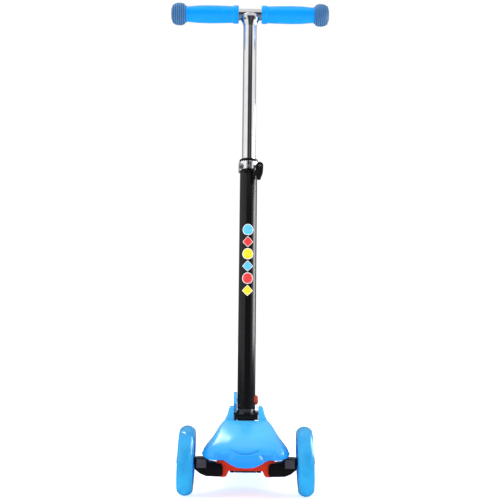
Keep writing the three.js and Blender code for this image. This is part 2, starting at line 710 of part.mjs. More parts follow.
// ---- post: laid out along Z from the hinge's axis, then leant back --------------------------------
const post = group(chassis);
post.position.set(0, HINGE_Y, HINGE_Z);
post.rotation.x = -POST_LEAN;

// The block's underside is level with the floor when the post is up, and its rear is round so it can roll back.
function hingeBlock() {
  const shape = new THREE.Shape();
  shape.moveTo(-BLOCK_BOTTOM, -BLOCK_BOTTOM);
  shape.lineTo(0, -BLOCK_BOTTOM);
  shape.absarc(0, 0, BLOCK_BOTTOM, -Math.PI / 2, 0, false);
  shape.lineTo(-BLOCK_BOTTOM, -1.5);
  const upright = pushed(shape, "x", -BLOCK_HALF_W, BLOCK_HALF_W, 8);
  const core = upright.rotate([THREE.MathUtils.radToDeg(POST_LEAN), 0, 0]);
  const plug = LOWER_TUBE_BORE - 0.4;
  const neck = turned([[0, -3], [17.5, -3], [15.6, 5.5], [plug, 5.5], [plug, 9], [0, 9]]);
  const bore = rod(HINGE_BOLT_R + 0.3, -60, 60, "x", 16);
  return cut(join(core, neck), bore);
}

function lowerTube() {
  const tube = sleeve(LOWER_TUBE_R, LOWER_TUBE_BORE, LOWER_TUBE_FOOT - GAP, LOWER_TUBE_TOP, "z", 24);
  const buttonHole = moved(rod(BUTTON_R + GAP, 5, 30, "x", 20), 0, 0, BUTTON_AT);
  const pinHole = moved(rod(PIN_R + GAP, -30, -5, "x", 16), 0, 0, BUTTON_AT);
  return cut(tube, buttonHole, pinHole);
}

// Pressing the button drives the lock pin across the tube, until the pin's waist lies in the latch plate.
function releaseButton() {
  const profile = [
    [0, 7.5], [BUTTON_R, 7.5], [BUTTON_R, 17], [BUTTON_R - 1.2, 19.8],
    [BUTTON_R - 4, BUTTON_FACE], [0, BUTTON_FACE],
  ];
  return moved(turned(profile, "x", 20), 0, 0, BUTTON_AT);
}

function lockPin() {
  const profile = [
    [0, -20.5], [PIN_R, -20.5], [PIN_R, -18.4], [1.7, -17.8], [1.7, -13], [PIN_R, -12.4],
    [PIN_R, 3.2], [5, 3.2], [5, 7.2], [0, 7.2],
  ];
  return moved(turned(profile, "x", 16), 0, 0, BUTTON_AT);
}

function buttonSpring() {
  return moved(coil(4.2, 0.6, -10.8, -4.6, 4).rotate([0, 90, 0]), 0, 0, BUTTON_AT);
}

// The height clamp: a split collar with two lugs in front, a skewer across them and a cam lever.
function clampCollar() {
  const band = sleeve(COLLAR_R, LOWER_TUBE_R + GAP, COLLAR_FOOT, LOWER_TUBE_TOP, "z", 24);
  const lugs = block(-LUG_HALF, LUG_FRONT, COLLAR_FOOT, LUG_HALF, -LOWER_TUBE_R - 1, LUG_TOP);
  const tubeSpace = rod(LOWER_TUBE_R + GAP, 400, 500, "z", 24);
  const slit = block(-SLIT, -40, 400, SLIT, 0, 500);
  const hole = moved(rod(SKEWER_R + 0.4, -30, 30, "x", 16), 0, SKEWER_Y, SKEWER_AT);
  return cut(join(band, lugs), tubeSpace, slit, hole);
}

function clampSkewer() {
  const eye = moved(rod(4.6, SKEWER_Y - 3, SKEWER_Y + 3, "y", 16), LEVER_X, 0, SKEWER_AT);
  const shank = moved(rod(SKEWER_R, -17.5, LEVER_X, "x", 16), 0, SKEWER_Y, SKEWER_AT);
  const pinHole = moved(rod(2.3, -40, 0, "y", 16), LEVER_X, 0, SKEWER_AT);
  return cut(join(eye, shank), pinHole);
}

function clampNut() {
  const nut = cut(hexHead(5, -16.5, -LUG_HALF - GAP, "x"), rod(2.7, -30, 0, "x", 16));
  return moved(nut, 0, SKEWER_Y, SKEWER_AT);
}

// The lever hangs beside the tube. Its head is round about the pin, and its end is split by a notch.
function clampLever() {
  const shape = new THREE.Shape();
  shape.moveTo(LEVER_X - LEVER_HEAD, SKEWER_AT);
  shape.absarc(LEVER_X, SKEWER_AT, LEVER_HEAD, Math.PI, 0, true);
  shape.quadraticCurveTo(27, SKEWER_AT - 12, 22.3, SKEWER_AT - 22);
  shape.quadraticCurveTo(21.8, LEVER_FOOT, 18.2, LEVER_FOOT);
  shape.quadraticCurveTo(14.9, LEVER_FOOT, 14.6, LEVER_FOOT + 3.2);
  shape.lineTo(14.3, LEVER_FOOT + 9.2);
  shape.lineTo(13, LEVER_FOOT + 9.2);
  shape.lineTo(12.6, LEVER_FOOT + 0.2);
  shape.lineTo(9, LEVER_FOOT + 0.7);
  shape.quadraticCurveTo(8.6, SKEWER_AT - 14, LEVER_X - LEVER_HEAD, SKEWER_AT - 8);
  const body = pushedBack(shape, LUG_FRONT + 0.5, LEVER_REAR);
  const fork = block(0, SKEWER_Y - 3.4, SKEWER_AT - 8, 40, SKEWER_Y + 3.4, SKEWER_AT + 20);
  const pinHole = moved(rod(2.2, -40, 0, "y", 16), LEVER_X, 0, SKEWER_AT);
  return cut(body, fork, pinHole);
}

function leverPin() {
  return moved(rod(1.9, LUG_FRONT, LEVER_REAR, "y", 16), LEVER_X, 0, SKEWER_AT);
}

// A plastic bush lines the top of the lower tube, with a lip over its end.
function tubeBush() {
  const lip = LOWER_TUBE_TOP + GAP;
  const bore = UPPER_TUBE_R + 0.2;
  const wall = LOWER_TUBE_BORE - 0.15;
  return turned([
    [bore, BUSH_FOOT], [wall, BUSH_FOOT], [wall, lip], [16.8, lip],
    [16.8, lip + 3.6], [15.6, lip + 5], [bore, lip + 5], [bore, BUSH_FOOT],
  ], "z", 24);
}

add(post, "hinge_block", BLACK, hingeBlock());
add(post, "lower_tube", BLACK_PAINT, lowerTube());
add(post, "release_button", RED, releaseButton());
add(post, "lock_pin", STEEL, lockPin());
add(post, "button_spring", STEEL, buttonSpring());
add(post, "clamp_collar", CHROME, clampCollar());
add(post, "clamp_skewer", STEEL, clampSkewer());
add(post, "clamp_nut", STEEL, clampNut());
add(post, "clamp_lever", BLACK, clampLever());
add(post, "lever_pin", STEEL, leverPin());
add(post, "tube_bush", BLACK, tubeBush());

// ---- handlebar: slides in the lower tube -----------------------------------------------------------
function upperTube() {
  const tube = sleeve(UPPER_TUBE_R, UPPER_TUBE_BORE, UPPER_TUBE_FOOT, CROSSBAR_AT, "z", 24);
  const saddle = moved(rod(CROSSBAR_R + GAP, -30, 30, "x", 20), 0, 0, CROSSBAR_AT);
  const above = block(-30, -30, CROSSBAR_AT, 30, 30, CROSSBAR_AT + 20);
  return cut(tube, saddle, above);
}

function crossbar() {
  const bar = sleeve(CROSSBAR_R, CROSSBAR_R - 1.5, -CROSSBAR_HALF, CROSSBAR_HALF, "x", 32);
  return moved(bar, 0, 0, CROSSBAR_AT);
}

function tubeFoot() {
  const foot = UPPER_TUBE_FOOT;
  return turned([
    [0, foot - 6], [LOWER_TUBE_BORE - 0.4, foot - 6], [LOWER_TUBE_BORE - 0.4, foot - GAP],
    [UPPER_TUBE_BORE - 0.2, foot - GAP], [UPPER_TUBE_BORE - 0.2, foot + 16], [0, foot + 16],
  ], "z", 32);
}

// A grip: a flange at its inner end, a slightly barrelled body, a neck and a bulb over the bar's end.
function grip(side) {
  const bore = CROSSBAR_R + GAP;
  const profile = [
    [bore, GRIP_START], [16.8, GRIP_START], [17.3, GRIP_START + 2], [17.3, GRIP_START + 9],
    [15.8, GRIP_START + 12], [16.6, 55], [17, 78], [16.4, 100], [14.6, 120], [16, 123.5], [19.5, 126],
    [21.6, 130], [22, 137], [21, 143], [17.5, 148.5], [11, GRIP_HALF], [0, GRIP_HALF],
    [0, CROSSBAR_HALF + GAP], [bore, CROSSBAR_HALF + GAP], [bore, GRIP_START],
  ];
  const body = turned(profile, "x", 18);
  return moved(side > 0 ? body : body.mirror([1, 0, 0]), 0, 0, CROSSBAR_AT);
}

const handlebar = group(post);
add(handlebar, "upper_tube", CHROME, upperTube());
add(handlebar, "crossbar", CHROME, crossbar());
add(handlebar, "tube_foot", BLACK, tubeFoot());
add(handlebar, "left_grip", GRIP_BLUE, grip(-1));
add(handlebar, "right_grip", GRIP_BLUE, grip(1));

// The origin is the middle of the foot of the whole scooter's box.
const box = new THREE.Box3().setFromObject(scooter, true);
scooter.position.y = -(box.min.y + box.max.y) / 2;
scooter.updateMatrixWorld(true);
export default scooter;
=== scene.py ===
# The finished look of the three-wheeled kick scooter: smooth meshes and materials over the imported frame.
import json
import math

import bmesh
import bpy
from mathutils import Matrix, Vector


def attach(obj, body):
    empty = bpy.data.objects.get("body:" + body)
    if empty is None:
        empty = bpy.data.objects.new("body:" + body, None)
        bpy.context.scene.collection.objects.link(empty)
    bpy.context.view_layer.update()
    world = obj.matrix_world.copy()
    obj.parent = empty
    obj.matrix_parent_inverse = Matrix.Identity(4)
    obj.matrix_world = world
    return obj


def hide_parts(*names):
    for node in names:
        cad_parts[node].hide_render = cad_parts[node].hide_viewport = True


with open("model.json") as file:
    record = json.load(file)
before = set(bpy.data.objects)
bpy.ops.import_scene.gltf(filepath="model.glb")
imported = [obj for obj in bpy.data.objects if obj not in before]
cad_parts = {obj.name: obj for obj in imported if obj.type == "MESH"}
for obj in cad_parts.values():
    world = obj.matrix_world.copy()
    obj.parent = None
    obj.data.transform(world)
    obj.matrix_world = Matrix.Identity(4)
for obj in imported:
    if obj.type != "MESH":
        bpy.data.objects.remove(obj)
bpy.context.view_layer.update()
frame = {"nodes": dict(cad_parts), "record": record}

MM = 0.001


# ---- places and sizes, in millimetres unless they are vectors
JOINTS = frame["record"]["behaviour"]["joints"]
PLACES = {joint["name"]: Vector(joint["pos_m"]) for joint in JOINTS if "pos_m" in joint}
FRONT = PLACES["lean"].y  # the front wheels' plane
POST_LEAN = math.radians(8)
CAMBER = math.radians(2)
PIVOT_SLOPE = math.radians(20)

WHEEL_R = 60
WHEEL_W = 27
TREAD_CROWN = 16
REAR_WHEEL_R = 40
REAR_WHEEL_W = 24
RIM_R = 36
REAR_RIM_R = 24

REAR_AXLE = PLACES["rear_wheel_spin"]
HINGE = PLACES["post_fold"]
BRAKE_PIN = PLACES["brake_press"]
PIVOT = PLACES["lean"]

# Along the post, from the hinge's axis.
BUTTON_AT = 22.5
COLLAR_FOOT, COLLAR_TOP, LUG_TOP = 442.5, 460, 455.5
SKEWER_AT, SKEWER_Y, CAM_X = 448, -22, 20
UPPER_TUBE_FOOT = 318
CROSSBAR_AT = 757.5
LOWER_TUBE_R = 16
UPPER_TUBE_R = 12.7
CROSSBAR_R = 11
RIB_PITCH = 3.8  # of the rings on the grips' ends

# From the scooter's middle and back from the front wheels' axles.
SHELL_SCREW_X, SHELL_SCREW_Y = 23, -8
COVER_SCREW_X, COVER_SCREW_Y = 34, 71
LATCH_TRACK_R = 3.4

SIDES = (("left", -1), ("right", 1))
ENDS = (("inner", -1), ("outer", 1))


def wheel_frame(side):
    """A front wheel's axle, with X pointing away from the scooter's middle."""
    place = PLACES["left_front_wheel_spin" if side < 0 else "right_front_wheel_spin"]
    tilt = Matrix.Rotation(-CAMBER * side, 4, "Y")
    flip = Matrix.Rotation(math.pi, 4, "Z") if side < 0 else Matrix.Identity(4)
    return Matrix.Translation(place) @ tilt @ flip


def shifted(place, x=0, y=0, z=0):
    """The place moved along its own axes, in millimetres."""
    return place @ Matrix.Translation((x * MM, y * MM, z * MM))


# Local axes of the sloping and tilting groups.
FRAME = Matrix.Translation((0, FRONT, 0))
REAR = Matrix.Translation(REAR_AXLE)
KINGPIN = Matrix.Translation(PIVOT) @ Matrix.Rotation(-PIVOT_SLOPE, 4, "X")
POST = Matrix.Translation(HINGE) @ Matrix.Rotation(-POST_LEAN, 4, "X")
BUTTON = shifted(POST, z=BUTTON_AT)
CROSSBAR = shifted(POST, z=CROSSBAR_AT)
SKEWER = shifted(POST, y=SKEWER_Y, z=SKEWER_AT)
CAM = shifted(SKEWER, x=CAM_X)


# ---- outlines
def rounded(points, closed=False, steps=5):
    """An outline of (u, v) or (u, v, r) points, where each corner with an r is rounded to that radius."""
    count = len(points)
    out = []
    for i, point in enumerate(points):
        corner = Vector(point[:2])
        radius = point[2] if len(point) > 2 else 0
        if not radius or (not closed and i in (0, count - 1)):
            out.append(corner)
            continue
        back = Vector(points[i - 1][:2]) - corner
        ahead = Vector(points[(i + 1) % count][:2]) - corner
        half = back.angle(ahead) / 2
        reach = min(radius / math.tan(half), 0.49 * back.length, 0.49 * ahead.length)
        radius = reach * math.tan(half)
        back.normalize()
        ahead.normalize()
        centre = corner + (back + ahead).normalized() * (radius / math.sin(half))
        first = corner + back * reach - centre
        last = corner + ahead * reach - centre
        start = math.atan2(first.y, first.x)
        sweep = (math.atan2(last.y, last.x) - start + math.pi) % (2 * math.pi) - math.pi
        for k in range(steps + 1):
            angle = start + sweep * k / steps
            out.append(centre + radius * Vector((math.cos(angle), math.sin(angle))))
    return out


def arc(centre_u, centre_v, radius, start, end, steps):
    """Points on an arc, with its angles in degrees."""
    angles = [math.radians(start + (end - start) * k / steps) for k in range(steps + 1)]
    return [(centre_u + radius * math.cos(a), centre_v + radius * math.sin(a)) for a in angles]


def ring_outline(radius, sides, start=0.0):
    turn = 2 * math.pi / sides
    return [(radius * math.cos(start + turn * i), radius * math.sin(start + turn * i)) for i in range(sides)]


def rectangle(u0, v0, u1, v1, radius=0):
    return [(u0, v0, radius), (u1, v0, radius), (u1, v1, radius), (u0, v1, radius)]


def mirrored(points):
    """The points on the other side of u = 0, in the opposite order."""
    return [(-point[0], *point[1:]) for point in points[::-1]]


def flipped(points):
    """The points on the other side of v = 0, in the opposite order."""
    return [(point[0], -point[1], *point[2:]) for point in points[::-1]]


# ---- meshes
AXES = {
    "x": Matrix(((0, 0, 1, 0), (1, 0, 0, 0), (0, 1, 0, 0), (0, 0, 0, 1))),
    "y": Matrix(((1, 0, 0, 0), (0, 0, 1, 0), (0, 1, 0, 0), (0, 0, 0, 1))),
    "z": Matrix.Identity(4),
}


def smooth(mesh, degrees=35):
    mesh.polygons.foreach_set("use_smooth", [True] * len(mesh.polygons))
    mesh.set_sharp_from_angle(angle=math.radians(degrees))


def made(name, bm, place, axis="z", degrees=35):
    """The bmesh, drawn in millimetres with its own Z turned to the axis, as an object at its place."""
    bmesh.ops.transform(bm, matrix=Matrix.Scale(MM, 4) @ AXES[axis], verts=bm.verts)
    bmesh.ops.recalc_face_normals(bm, faces=bm.faces)
    mesh = bpy.data.meshes.new(name)
    bm.to_mesh(mesh)
    bm.free()
    smooth(mesh, degrees)
    obj = bpy.data.objects.new(name, mesh)
    obj.matrix_world = place
    bpy.context.scene.collection.objects.link(obj)
    return obj


def stitch(bm, rings, closed=False):
    """Faces between neighbouring rings of points, and over the open ends. A ring may be a single point."""
    sides = max(len(ring) for ring in rings)
    for a, b in zip(rings, rings[1:] + ([rings[0]] if closed else [])):
        for i in range(sides):
            j = (i + 1) % sides
            corners = [a[i % len(a)], a[j % len(a)], b[j % len(b)], b[i % len(b)]]
            corners = list(dict.fromkeys(corners))
            if len(corners) > 2:
                bm.faces.new(corners)
    if not closed:
        for ring in (rings[0], rings[-1]):
            if len(ring) > 1:
                bm.faces.new(ring)


def lathe(name, profile, place, axis="z", sides=96, closed=False, ripple=None, steps=5):
    """A turned piece, from a profile of (radius, along) or (radius, along, r) points, as rounded() takes.

    ripple(angle, along) scales the radius.
    """
    bm = bmesh.new()
    rings = []
    for radius, along in rounded(profile, closed, steps):
        if radius < 1e-6:
            rings.append([bm.verts.new((0, 0, along))])
            continue
        ring = []
        for i in range(sides):
            angle = 2 * math.pi * i / sides
            reach = radius * (ripple(angle, along) if ripple else 1)
            ring.append(bm.verts.new((reach * math.cos(angle), reach * math.sin(angle), along)))
        rings.append(ring)
    stitch(bm, rings, closed)
    return made(name, bm, place, axis)


def surface(name, curve):
    """The curve's surface as a bmesh."""
    source = bpy.data.objects.new(name, curve)
    mesh = bpy.data.meshes.new_from_object(source)
    bpy.data.objects.remove(source)
    bm = bmesh.new()
    bm.from_mesh(mesh)
    bpy.data.meshes.remove(mesh)
    return bm


def slab(name, outline, low, high, place, axis="z", edge=0.6, segments=3):
    """An outline of (u, v) or (u, v, r) points pushed through along the axis, with its edges rounded."""
    loop = rounded(outline, closed=True)
    curve = bpy.data.curves.new(name, "CURVE")
    curve.dimensions = "2D"
    curve.fill_mode = "BOTH"
    curve.extrude = (high - low) / 2
    spline = curve.splines.new("POLY")
    spline.points.add(len(loop) - 1)
    for point, (u, v) in zip(spline.points, loop):
        point.co = (u, v, 0, 1)
    spline.use_cyclic_u = True
    bm = surface(name, curve)
    bmesh.ops.remove_doubles(bm, verts=bm.verts, dist=1e-4)
    bmesh.ops.dissolve_limit(bm, angle_limit=math.radians(1), verts=bm.verts, edges=bm.edges)
    bmesh.ops.translate(bm, vec=(0, 0, (low + high) / 2), verts=bm.verts)
    obj = made(name, bm, place, axis)
    if edge:
        soften(obj, edge, segments)
    return obj


def soften(obj, width, segments=3, degrees=32):
    bevel = obj.modifiers.new("edges", "BEVEL")
    bevel.width = width * MM
    bevel.segments = segments
    bevel.limit_method = "ANGLE"
    bevel.angle_limit = math.radians(degrees)
    bevel.harden_normals = True
    bevel.use_clamp_overlap = True
    return obj


def baked(obj):
    """Applies the object's modifiers to its mesh."""
    bpy.context.view_layer.update()
    evaluated = obj.evaluated_get(bpy.context.evaluated_depsgraph_get())
    mesh = bpy.data.meshes.new_from_object(evaluated)
    obj.modifiers.clear()
    old = obj.data
    obj.data = mesh
    bpy.data.meshes.remove(old)
    return obj


def boolean(obj, operation, *others):
    for other in others:
        step = obj.modifiers.new("cut", "BOOLEAN")
        step.operation = operation
        step.solver = "EXACT"
        step.object = other
    baked(obj)
    for other in others:
        bpy.data.objects.remove(other)
    smooth(obj.data)
    return obj


def cut(obj, *tools):
    return boolean(obj, "DIFFERENCE", *tools)


def fused(name, *parts):
    """Several meshes as one object, keeping the first one's place."""
    first = parts[0]
    bm = bmesh.new()
    bpy.context.view_layer.update()
    for part in parts:
        baked(part)
        part.data.transform(first.matrix_world.inverted() @ part.matrix_world)
        bm.from_mesh(part.data)
    bm.to_mesh(first.data)
    bm.free()
    for part in parts[1:]:
        bpy.data.objects.remove(part)
    smooth(first.data)
    first.name = name
    return first


def coil(name, radius, wire, low, high, turns, place, axis="z"):
    """A wound spring with both ends closed."""
    curve = bpy.data.curves.new(name, "CURVE")
    curve.dimensions = "3D"
    curve.bevel_depth = wire
    curve.bevel_resolution = 4
    curve.use_fill_caps = True
    spline = curve.splines.new("POLY")
    count = turns * 28
    spline.points.add(count)
    for i, point in enumerate(spline.points):
        angle = 2 * math.pi * turns * i / count
        point.co = (radius * math.cos(angle), radius * math.sin(angle), low + (high - low) * i / count, 1)
    return made(name, surface(name, curve), place, axis)


# ---- materials
class Nodes:
    """Wires the nodes of one tree."""

    def __init__(self, tree):
        self.tree = tree

    def add(self, kind, **settings):
        node = self.tree.nodes.new(kind)
        for key, value in settings.items():
            setattr(node, key, value)
        return node

    def link(self, source, target):
        self.tree.links.new(source, target)

    def feed(self, target, value):
        """Links an input to another node's output, or sets it to a plain value."""
        if isinstance(value, bpy.types.NodeSocket):
            self.link(value, target)
        else:
            target.default_value = value

    def calc(self, operation, *values):
        node = self.add("ShaderNodeMath", operation=operation)
        for target, value in zip(node.inputs, values):
            self.feed(target, value)
        return node.outputs["Value"]

    def coordinate(self, vector, axis):
        node = self.add("ShaderNodeSeparateXYZ")
        self.link(vector, node.inputs["Vector"])
        return node.outputs[axis]

    def ramp(self, value, low, high, out_low=0, out_high=1):
        node = self.add("ShaderNodeMapRange")
        for key, number in (("From Min", low), ("From Max", high), ("To Min", out_low), ("To Max", out_high)):
            node.inputs[key].default_value = number
        self.link(value, node.inputs["Value"])
        return node.outputs["Result"]

    def blend(self, share, first, second):
        """From the first colour to the second as the share rises. Each may be another node's output."""
        node = self.add("ShaderNodeMix", data_type="RGBA")
        self.link(share, node.inputs["Factor"])
        for key, colour in (("A", first), ("B", second)):
            self.feed(node.inputs[key], (*colour, 1) if isinstance(colour, tuple) else colour)
        return node.outputs["Result"]


def shade(colour, factor):
    return tuple(min(1.0, channel * factor) for channel in colour)


class Material(Nodes):
    """A material whose pattern stays with the object."""

    def __init__(self, name):
        self.material = bpy.data.materials.new(name)
        self.material.use_nodes = True
        super().__init__(self.material.node_tree)
        self.shader = self.tree.nodes["Principled BSDF"]
        self.place = self.add("ShaderNodeTexCoord").outputs["Object"]

    def set(self, **values):
        for key, value in values.items():
            self.feed(self.shader.inputs[key.replace("_", " ")], value)

    def noise(self, scale, detail=3.0, stretch=None):
        node = self.add("ShaderNodeTexNoise")
        node.inputs["Scale"].default_value = scale
        node.inputs["Detail"].default_value = detail
        source = self.place
        if stretch:
            mapping = self.add("ShaderNodeMapping")
            mapping.inputs["Scale"].default_value = stretch
            self.link(source, mapping.inputs["Vector"])
            source = mapping.outputs["Vector"]
        self.link(source, node.inputs["Vector"])
        return node.outputs["Fac"]

    def mottle(self, scale, detail, colour, first, second, low=0.3, high=0.7):
        """Clouds of two shades of the colour."""
        clouds = self.ramp(self.noise(scale, detail), low, high)
        return self.blend(clouds, shade(colour, first), shade(colour, second))

    def patchy(self, scale, detail, amount, least, most, high=0.7):
        """The amount, uneven in patches between a least and a most share of it."""
        return self.ramp(self.noise(scale, detail), 0.3, high, amount * least, amount * most)

    def bump(self, height, distance, strength=1.0, below=None):
        node = self.add("ShaderNodeBump")
        node.inputs["Strength"].default_value = strength
        node.inputs["Distance"].default_value = distance
        self.link(height, node.inputs["Height"])
        if below:
            self.link(below, node.inputs["Normal"])
        return node.outputs["Normal"]


FULL_SHADE_UNDER, NO_SHADE_OVER = 0.062, 0.108  # heights on the housing, in metres, between which its painted shade fades out upwards
GRIP_END_FROM, GRIP_END_TO = 0.1222, 0.1238  # where the grips' dull ends start, in metres from the middle


def moulded(name, colour, roughness=0.3, scatter=0.0, ior=1.48, shaded_low_colour=None):
    """Injection-moulded plastic: faint mottling, a fine moulded skin and slightly uneven gloss.

    Towards its lower edge the colour can darken to a given lower colour: a painted shade.
    """
    m = Material(name)
    skin = m.mottle(28, 4, colour, 0.95, 1.04)
    if shaded_low_colour:
        # Painted shade: the colour darkens with falling height on the piece.
        height = m.ramp(m.coordinate(m.place, "Z"), FULL_SHADE_UNDER, NO_SHADE_OVER)
        skin = m.blend(height, shaded_low_colour, skin)
    wave = m.bump(m.noise(60, 2), 0.00006, 0.4)
    grain = m.bump(m.noise(2600, 2), 0.00001, 0.2, below=wave)
    m.set(Base_Color=skin, Roughness=m.patchy(90, 5, roughness, 0.85, 1.2), Normal=grain, IOR=ior)
    if scatter:
        m.set(Subsurface_Weight=scatter, Subsurface_Scale=0.004, Subsurface_Radius=(0.4, 0.8, 1.0))
    return m.material


def cast_urethane(name, colour):
    """Clear tinted polyurethane: light goes in, and flow lines show inside."""
    m = Material(name)
    m.set(Base_Color=m.mottle(40, 4, colour, 0.9, 1.08), Normal=m.bump(m.noise(120, 3), 0.00015, 0.4))
    m.set(Roughness=0.08, IOR=1.45, Transmission_Weight=0.34)
    m.set(Subsurface_Weight=0.5, Subsurface_Scale=0.008, Subsurface_Radius=(0.3, 0.8, 1.0))
    return m.material


def soft_grip(name, colour, end_colour):
    """Thermoplastic rubber: a smooth body, and duller, matt ends beyond the grips' necks, with painted shade
    in the grooves between their rings.
    """
    m = Material(name)
    away = m.calc("ABSOLUTE", m.coordinate(m.place, "X"))
    end = m.ramp(away, GRIP_END_FROM, GRIP_END_TO)
    # Painted shade: the ends' colour falls to less than half in the grooves between the rings, over the
    # grooves in the mesh.
    wave = m.calc("COSINE", m.calc("MULTIPLY", away, 2 * math.pi / (RIB_PITCH * MM)))
    ribs = m.blend(m.ramp(wave, -0.6, 0.8), shade(end_colour, 0.45), end_colour)
    m.set(Base_Color=m.blend(end, m.mottle(60, 4, colour, 0.96, 1.03), ribs))
    m.set(Roughness=m.ramp(end, 0, 1, 0.3, 0.55), Normal=m.bump(m.noise(1800, 3), 0.00004, 0.5))
    m.set(IOR=1.28, Subsurface_Weight=0.08, Subsurface_Scale=0.002)
    return m.material


def powder_coat(name, colour):
    """Glossy black paint on steel tube: a little orange peel, dust-fine flecks."""
    m = Material(name)
    m.set(Base_Color=m.mottle(160, 4, colour, 1, 1.3, 0.4, 0.75), Roughness=m.patchy(70, 4, 0.2, 0.7, 1))
    m.set(Normal=m.bump(m.noise(300, 2), 0.00001, 0.3), IOR=1.37)
    return m.material


def metal(name, colour, roughness, brush=0.0, stretch=(1, 1, 1)):
    """Plated or polished metal, with wipe marks and, where brushed, fine lines."""
    m = Material(name)
    m.set(Base_Color=m.mottle(45, 5, colour, 1, 0.93, 0.35), Metallic=1.0)
    m.set(Roughness=m.patchy(120, 5, roughness, 0.75, 1.35, 0.75))
    if brush:
        m.set(Normal=m.bump(m.noise(900, 4, stretch), brush, 0.5))
    return m.material


def textured_nylon(name, colour, roughness=0.5):
    """Glass-filled black nylon with a spark-eroded texture, greyer where it is worn."""
    m = Material(name)
    m.set(Base_Color=m.mottle(35, 6, colour, 1, 1.8, 0.5, 0.8), IOR=1.25)
    m.set(Roughness=m.patchy(160, 4, roughness, 0.85, 1.15), Normal=m.bump(m.noise(1500, 3), 0.00012, 0.6))
    return m.material


def deck_rubber(name, colour):
    """Matt rubber with a gritty skin and a little dust."""
    m = Material(name)
    m.set(Base_Color=m.mottle(18, 6, colour, 1, 2.4, 0.45, 0.8), Roughness=0.85, IOR=1.45)
    m.set(Normal=m.bump(m.noise(1300, 4), 0.00025, 0.8))
    return m.material


def printed(name, colour):
    """A glossy vinyl transfer with a slightly uneven film of ink."""
    m = Material(name)
    m.set(Base_Color=m.mottle(140, 4, colour, 0.95, 1.03), Normal=m.bump(m.noise(300, 2), 0.00003, 0.4))
    m.set(Roughness=0.28, IOR=1.48, Coat_Weight=0.3, Coat_Roughness=0.1)
    return m.material


# The housing's blue darkens towards its lower part: a painted shade.
BLUE = moulded("housing_blue", (0.065, 0.49, 0.92), 0.2, ior=1.55, shaded_low_colour=(0.0, 0.25, 0.82))
DECK_BLUE = moulded("deck_blue", (0.01, 0.31, 0.88), 0.45, ior=1.33)
LATCH_BLUE = moulded("latch_blue", (0.08, 0.46, 0.93), 0.3, scatter=0.15)
HUB_BLUE = moulded("hub_blue", (0.01, 0.3, 0.95), 0.3)
RED = moulded("shell_red", (0.72, 0.022, 0.0), 0.34, ior=1.3)
BUTTON_RED = moulded("button_red", (0.42, 0.045, 0.02), 0.4, ior=1.35)
TYRE_BLUE = cast_urethane("tyre_blue", (0.04, 0.5, 0.97))
GRIP_BLUE = soft_grip("grip_blue", (0.0, 0.28, 0.84), (0.06, 0.19, 0.42))
TUBE_BLACK = powder_coat("tube_black", (0.004, 0.004, 0.005))
CHROME = metal("chrome", (0.88, 0.88, 0.9), 0.045)
SATIN_CHROME = metal("satin_chrome", (0.93, 0.93, 0.94), 0.24)
WELD_STEEL = metal("weld_steel", (0.8, 0.8, 0.81), 0.1, brush=0.00003)
ZINC = metal("zinc_steel", (0.42, 0.42, 0.44), 0.3, brush=0.00004)
PRESSED_STEEL = metal("pressed_steel", (0.42, 0.43, 0.45), 0.38, brush=0.00006, stretch=(1, 6, 1))
BLACK = textured_nylon("black_nylon", (0.005, 0.005, 0.006), 0.42)
BLOCK_BLACK = moulded("block_black", (0.004, 0.005, 0.009), 0.2)
ARM_BLACK = textured_nylon("arm_black", (0.005, 0.004, 0.005), 0.38)
RUBBER = deck_rubber("mat_rubber", (0.018, 0.018, 0.02))
# A pale grey copy of the arms' black nylon: a painted highlight on the pads that face up towards the light.
ARM_PAD_PAINTED_HIGHLIGHT = textured_nylon("arm_pad_painted_highlight", (0.085, 0.072, 0.078), 0.5)
LIGHT_RING = moulded("light_ring", (0.5, 0.75, 0.9), 0.25, scatter=0.4)
YELLOW_INK = printed("yellow_ink", (0.93, 0.72, 0.03))
RED_INK = printed("red_ink", (0.75, 0.05, 0.05))
SKY_INK = printed("sky_ink", (0.12, 0.55, 0.85))
WHITE_INK = printed("white_ink", (0.86, 0.87, 0.86))


def fit(obj, body, material, slot, *nodes):
    """Gives a piece its material and its body, and hides the CAD nodes that it stands for. The finish slot is
    not used.
    """
    obj.data.materials.clear()
    obj.data.materials.append(material)
    obj.data.transform(obj.matrix_world)
    obj.matrix_world = Matrix.Identity(4)
    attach(obj, body)
    if nodes:
        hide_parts(*nodes)
    return obj


# ---- wheels
def tyre(name, place, radius, width, bore):
    """Cast tread with a rounded crown, soft shoulders and a shallow step beside the rim."""
    half = width / 2
    centre = radius - TREAD_CROWN
    reach = math.asin(min(1.0, half / TREAD_CROWN))
    crown_end = 0.8 * math.degrees(reach)
    side = [
        (centre + TREAD_CROWN * math.cos(reach), half, 2.4), (bore + 4.4, half - 0.3, 0.8),
        (bore + 3.2, half - 1.8, 0.8), (bore, half - 1.8),
    ]
    crown = arc(centre, 0, TREAD_CROWN, -crown_end, crown_end, 20)
    return lathe(name, [*flipped(side), *crown, *side], place, "x", sides=128, closed=True)


def wheel_hub(name, place, rim, width, spokes):
    """A moulded hub: bearing barrel, web with stiffening ribs on both sides, and a flanged rim."""
    half = width / 2
    barrel = 14.5
    seat = 11.2
    lip = rim - 5
    profile = [
        (9.2, 5), (seat, 5), (seat, half - 0.8, 0.5), (seat + 0.6, half, 0.3), (barrel, half, 1),
        (barrel + 0.6, 5, 2), (lip - 0.8, 4.4, 2), (lip, half, 0.8), (rim, half, 0.8), (rim, 4), (rim - 3, 4),
    ]
    body = lathe(name, profile + flipped(profile), place, "x", closed=True)
    ribs = []
    for i in range(spokes):
        turn = place @ Matrix.Rotation(2 * math.pi * i / spokes, 4, "X")
        outline = [(-1.5, barrel - 1), (1.5, barrel - 1), (1.1, lip + 1), (-1.1, lip + 1)]
        ribs.append(slab("rib", outline, -half + 3.2, half - 3.2, turn, "x", edge=0.7, segments=2))
    return fused(name, body, *ribs)


